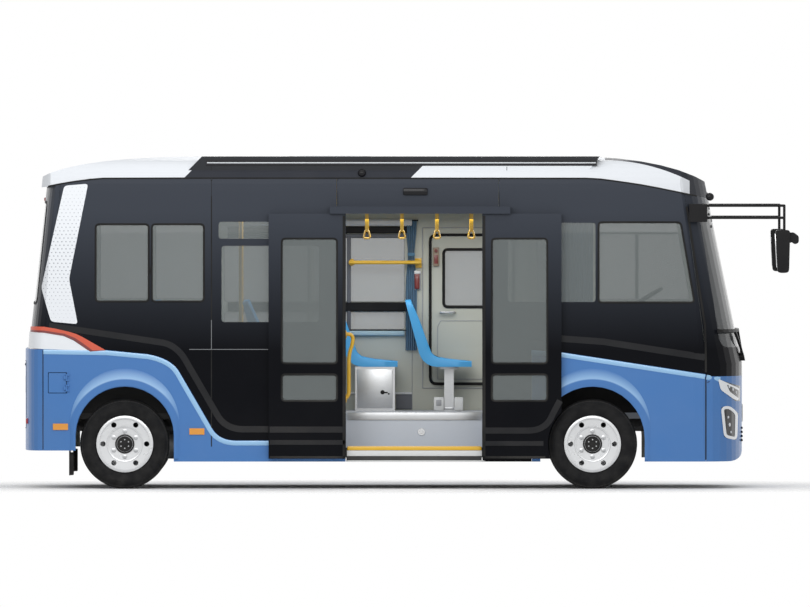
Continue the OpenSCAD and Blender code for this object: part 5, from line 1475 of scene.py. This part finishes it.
def flap_ribs(bm, side):
    """Thick part across each rear mud flap."""
    low, high = sorted((side * 0.835, side * 0.985))
    block(bm, (sx(70.6), low, sz(474.6)), (sx(74.4), high, sz(452)), 0.006)


on_sides("mud_flap_ribs", "black_rubber", flap_ribs, rubber)
fitting("tail_seals", "black_rubber", tail_seals, rubber)
fitting("tail_fittings", "black_trim", tail_fittings, black_trim, cabin_white)
fitting("tail_reflectors", "red_lens", tail_reflectors, red_lens)
fitting("nose_fittings", "black_trim", nose_fittings, black_trim, cabin_white)
on_sides("mirror_glasses", "rim_silver", mirror_glasses, chrome)


# Pale floor that fades out into white surroundings, and soft light
floor_bm = bmesh.new()
bmesh.ops.create_circle(floor_bm, cap_ends=True, segments=96, radius=14.0,
                        matrix=Matrix.Translation((0, 0, -0.001)))
floor_mesh = bpy.data.meshes.new("studio_floor")
floor_bm.to_mesh(floor_mesh)
floor_bm.free()
floor_obj = bpy.data.objects.new("studio_floor", floor_mesh)
scene.collection.objects.link(floor_obj)
floor_mat, floor_tree, floor_shader = finish("studio_floor", 0.9, specular=0.1)
floor_at = add(floor_tree, "TexCoord").outputs["Object"]
floor_cloud = add(floor_tree, "TexNoise", {"Vector": floor_at, "Scale": 0.6}).outputs[0]
floor_tree.links.new(mix_colour(floor_tree, floor_cloud, rgba(0.90, 0.90, 0.90), rgba(0.93, 0.93, 0.93)),
                     floor_shader.inputs["Base Color"])
floor_oval = add(floor_tree, "Mapping", {"Vector": floor_at, "Scale": (0.62, 1.0, 1.0)}).outputs[0]
floor_reach = add(floor_tree, "VectorMath", {0: floor_oval}, operation="LENGTH").outputs["Value"]
floor_tree.links.new(ramp(floor_tree, floor_reach, 1.7, 3.2, 1.0, 0.0), floor_shader.inputs["Alpha"])
floor_mesh.materials.append(floor_mat)

# White surroundings for the camera, glass and reflections, and a softer level for the light that they give
world = bpy.data.worlds.new("studio")
scene.world = world
world.use_nodes = True
sky = world.node_tree
sky.nodes.clear()
ray = add(sky, "LightPath").outputs
direct = largest(sky, ray["Is Camera Ray"], ray["Is Transmission Ray"])
seen = largest(sky, direct, ray["Is Glossy Ray"], True)
soft = add(sky, "Background", {"Color": rgba(1.0, 1.0, 1.0), "Strength": 0.55})
shown = add(sky, "Background", {"Color": rgba(1.0, 1.0, 1.0), "Strength": 1.0})
blend = add(sky, "MixShader", {0: seen, 1: soft.outputs[0], 2: shown.outputs[0]})
sky.links.new(blend.outputs[0], add(sky, "OutputWorld").inputs[0])


def lamp(name, place, target, size, power):
    """Oblong soft light at a place, turned to a target."""
    data = bpy.data.lights.new(name, "AREA")
    data.shape, data.size, data.size_y, data.energy = "RECTANGLE", size[0], size[1], power
    obj = bpy.data.objects.new(name, data)
    obj.location = place
    obj.rotation_euler = (Vector(target) - Vector(place)).to_track_quat("-Z", "Y").to_euler()
    scene.collection.objects.link(obj)


lamp("roof_softbox", (0.0, -1.5, 7.5), (0.0, 0.0, 1.0), (11.0, 6.0), 70.0)
lamp("side_softbox", (-1.5, -9.0, 5.2), (0.0, 0.0, 1.2), (9.0, 3.5), 320.0)
lamp("strip_softbox", (0.0, -6.0, 3.3), (0.0, 0.0, 2.9), (11.0, 1.6), 58.0)
lamp("cabin_lamp", (-0.2, 0.0, 2.24), (-0.2, 0.0, 0.0), (3.6, 0.9), 34.0)
lamp("far_softbox", (1.5, 8.5, 5.0), (0.0, 0.0, 1.2), (8.0, 3.0), 220.0)

# Side view from far off through a long lens, a little from above
EYE_Y, SIDE_Y = -150.0, -1.0
eye = bpy.data.cameras.new("side_camera")
eye.sensor_width, eye.lens, eye.clip_start, eye.clip_end = 36.0, 796.0, 1.0, 400.0
eye_obj = bpy.data.objects.new("side_camera", eye)
eye_drop = math.radians(0.5)
eye_obj.location = (sx(405), EYE_Y, sz(303.5) + (SIDE_Y - EYE_Y) * math.tan(eye_drop))
eye_obj.rotation_euler = (math.radians(90) - eye_drop, 0, 0)
scene.collection.objects.link(eye_obj)
scene.camera = eye_obj
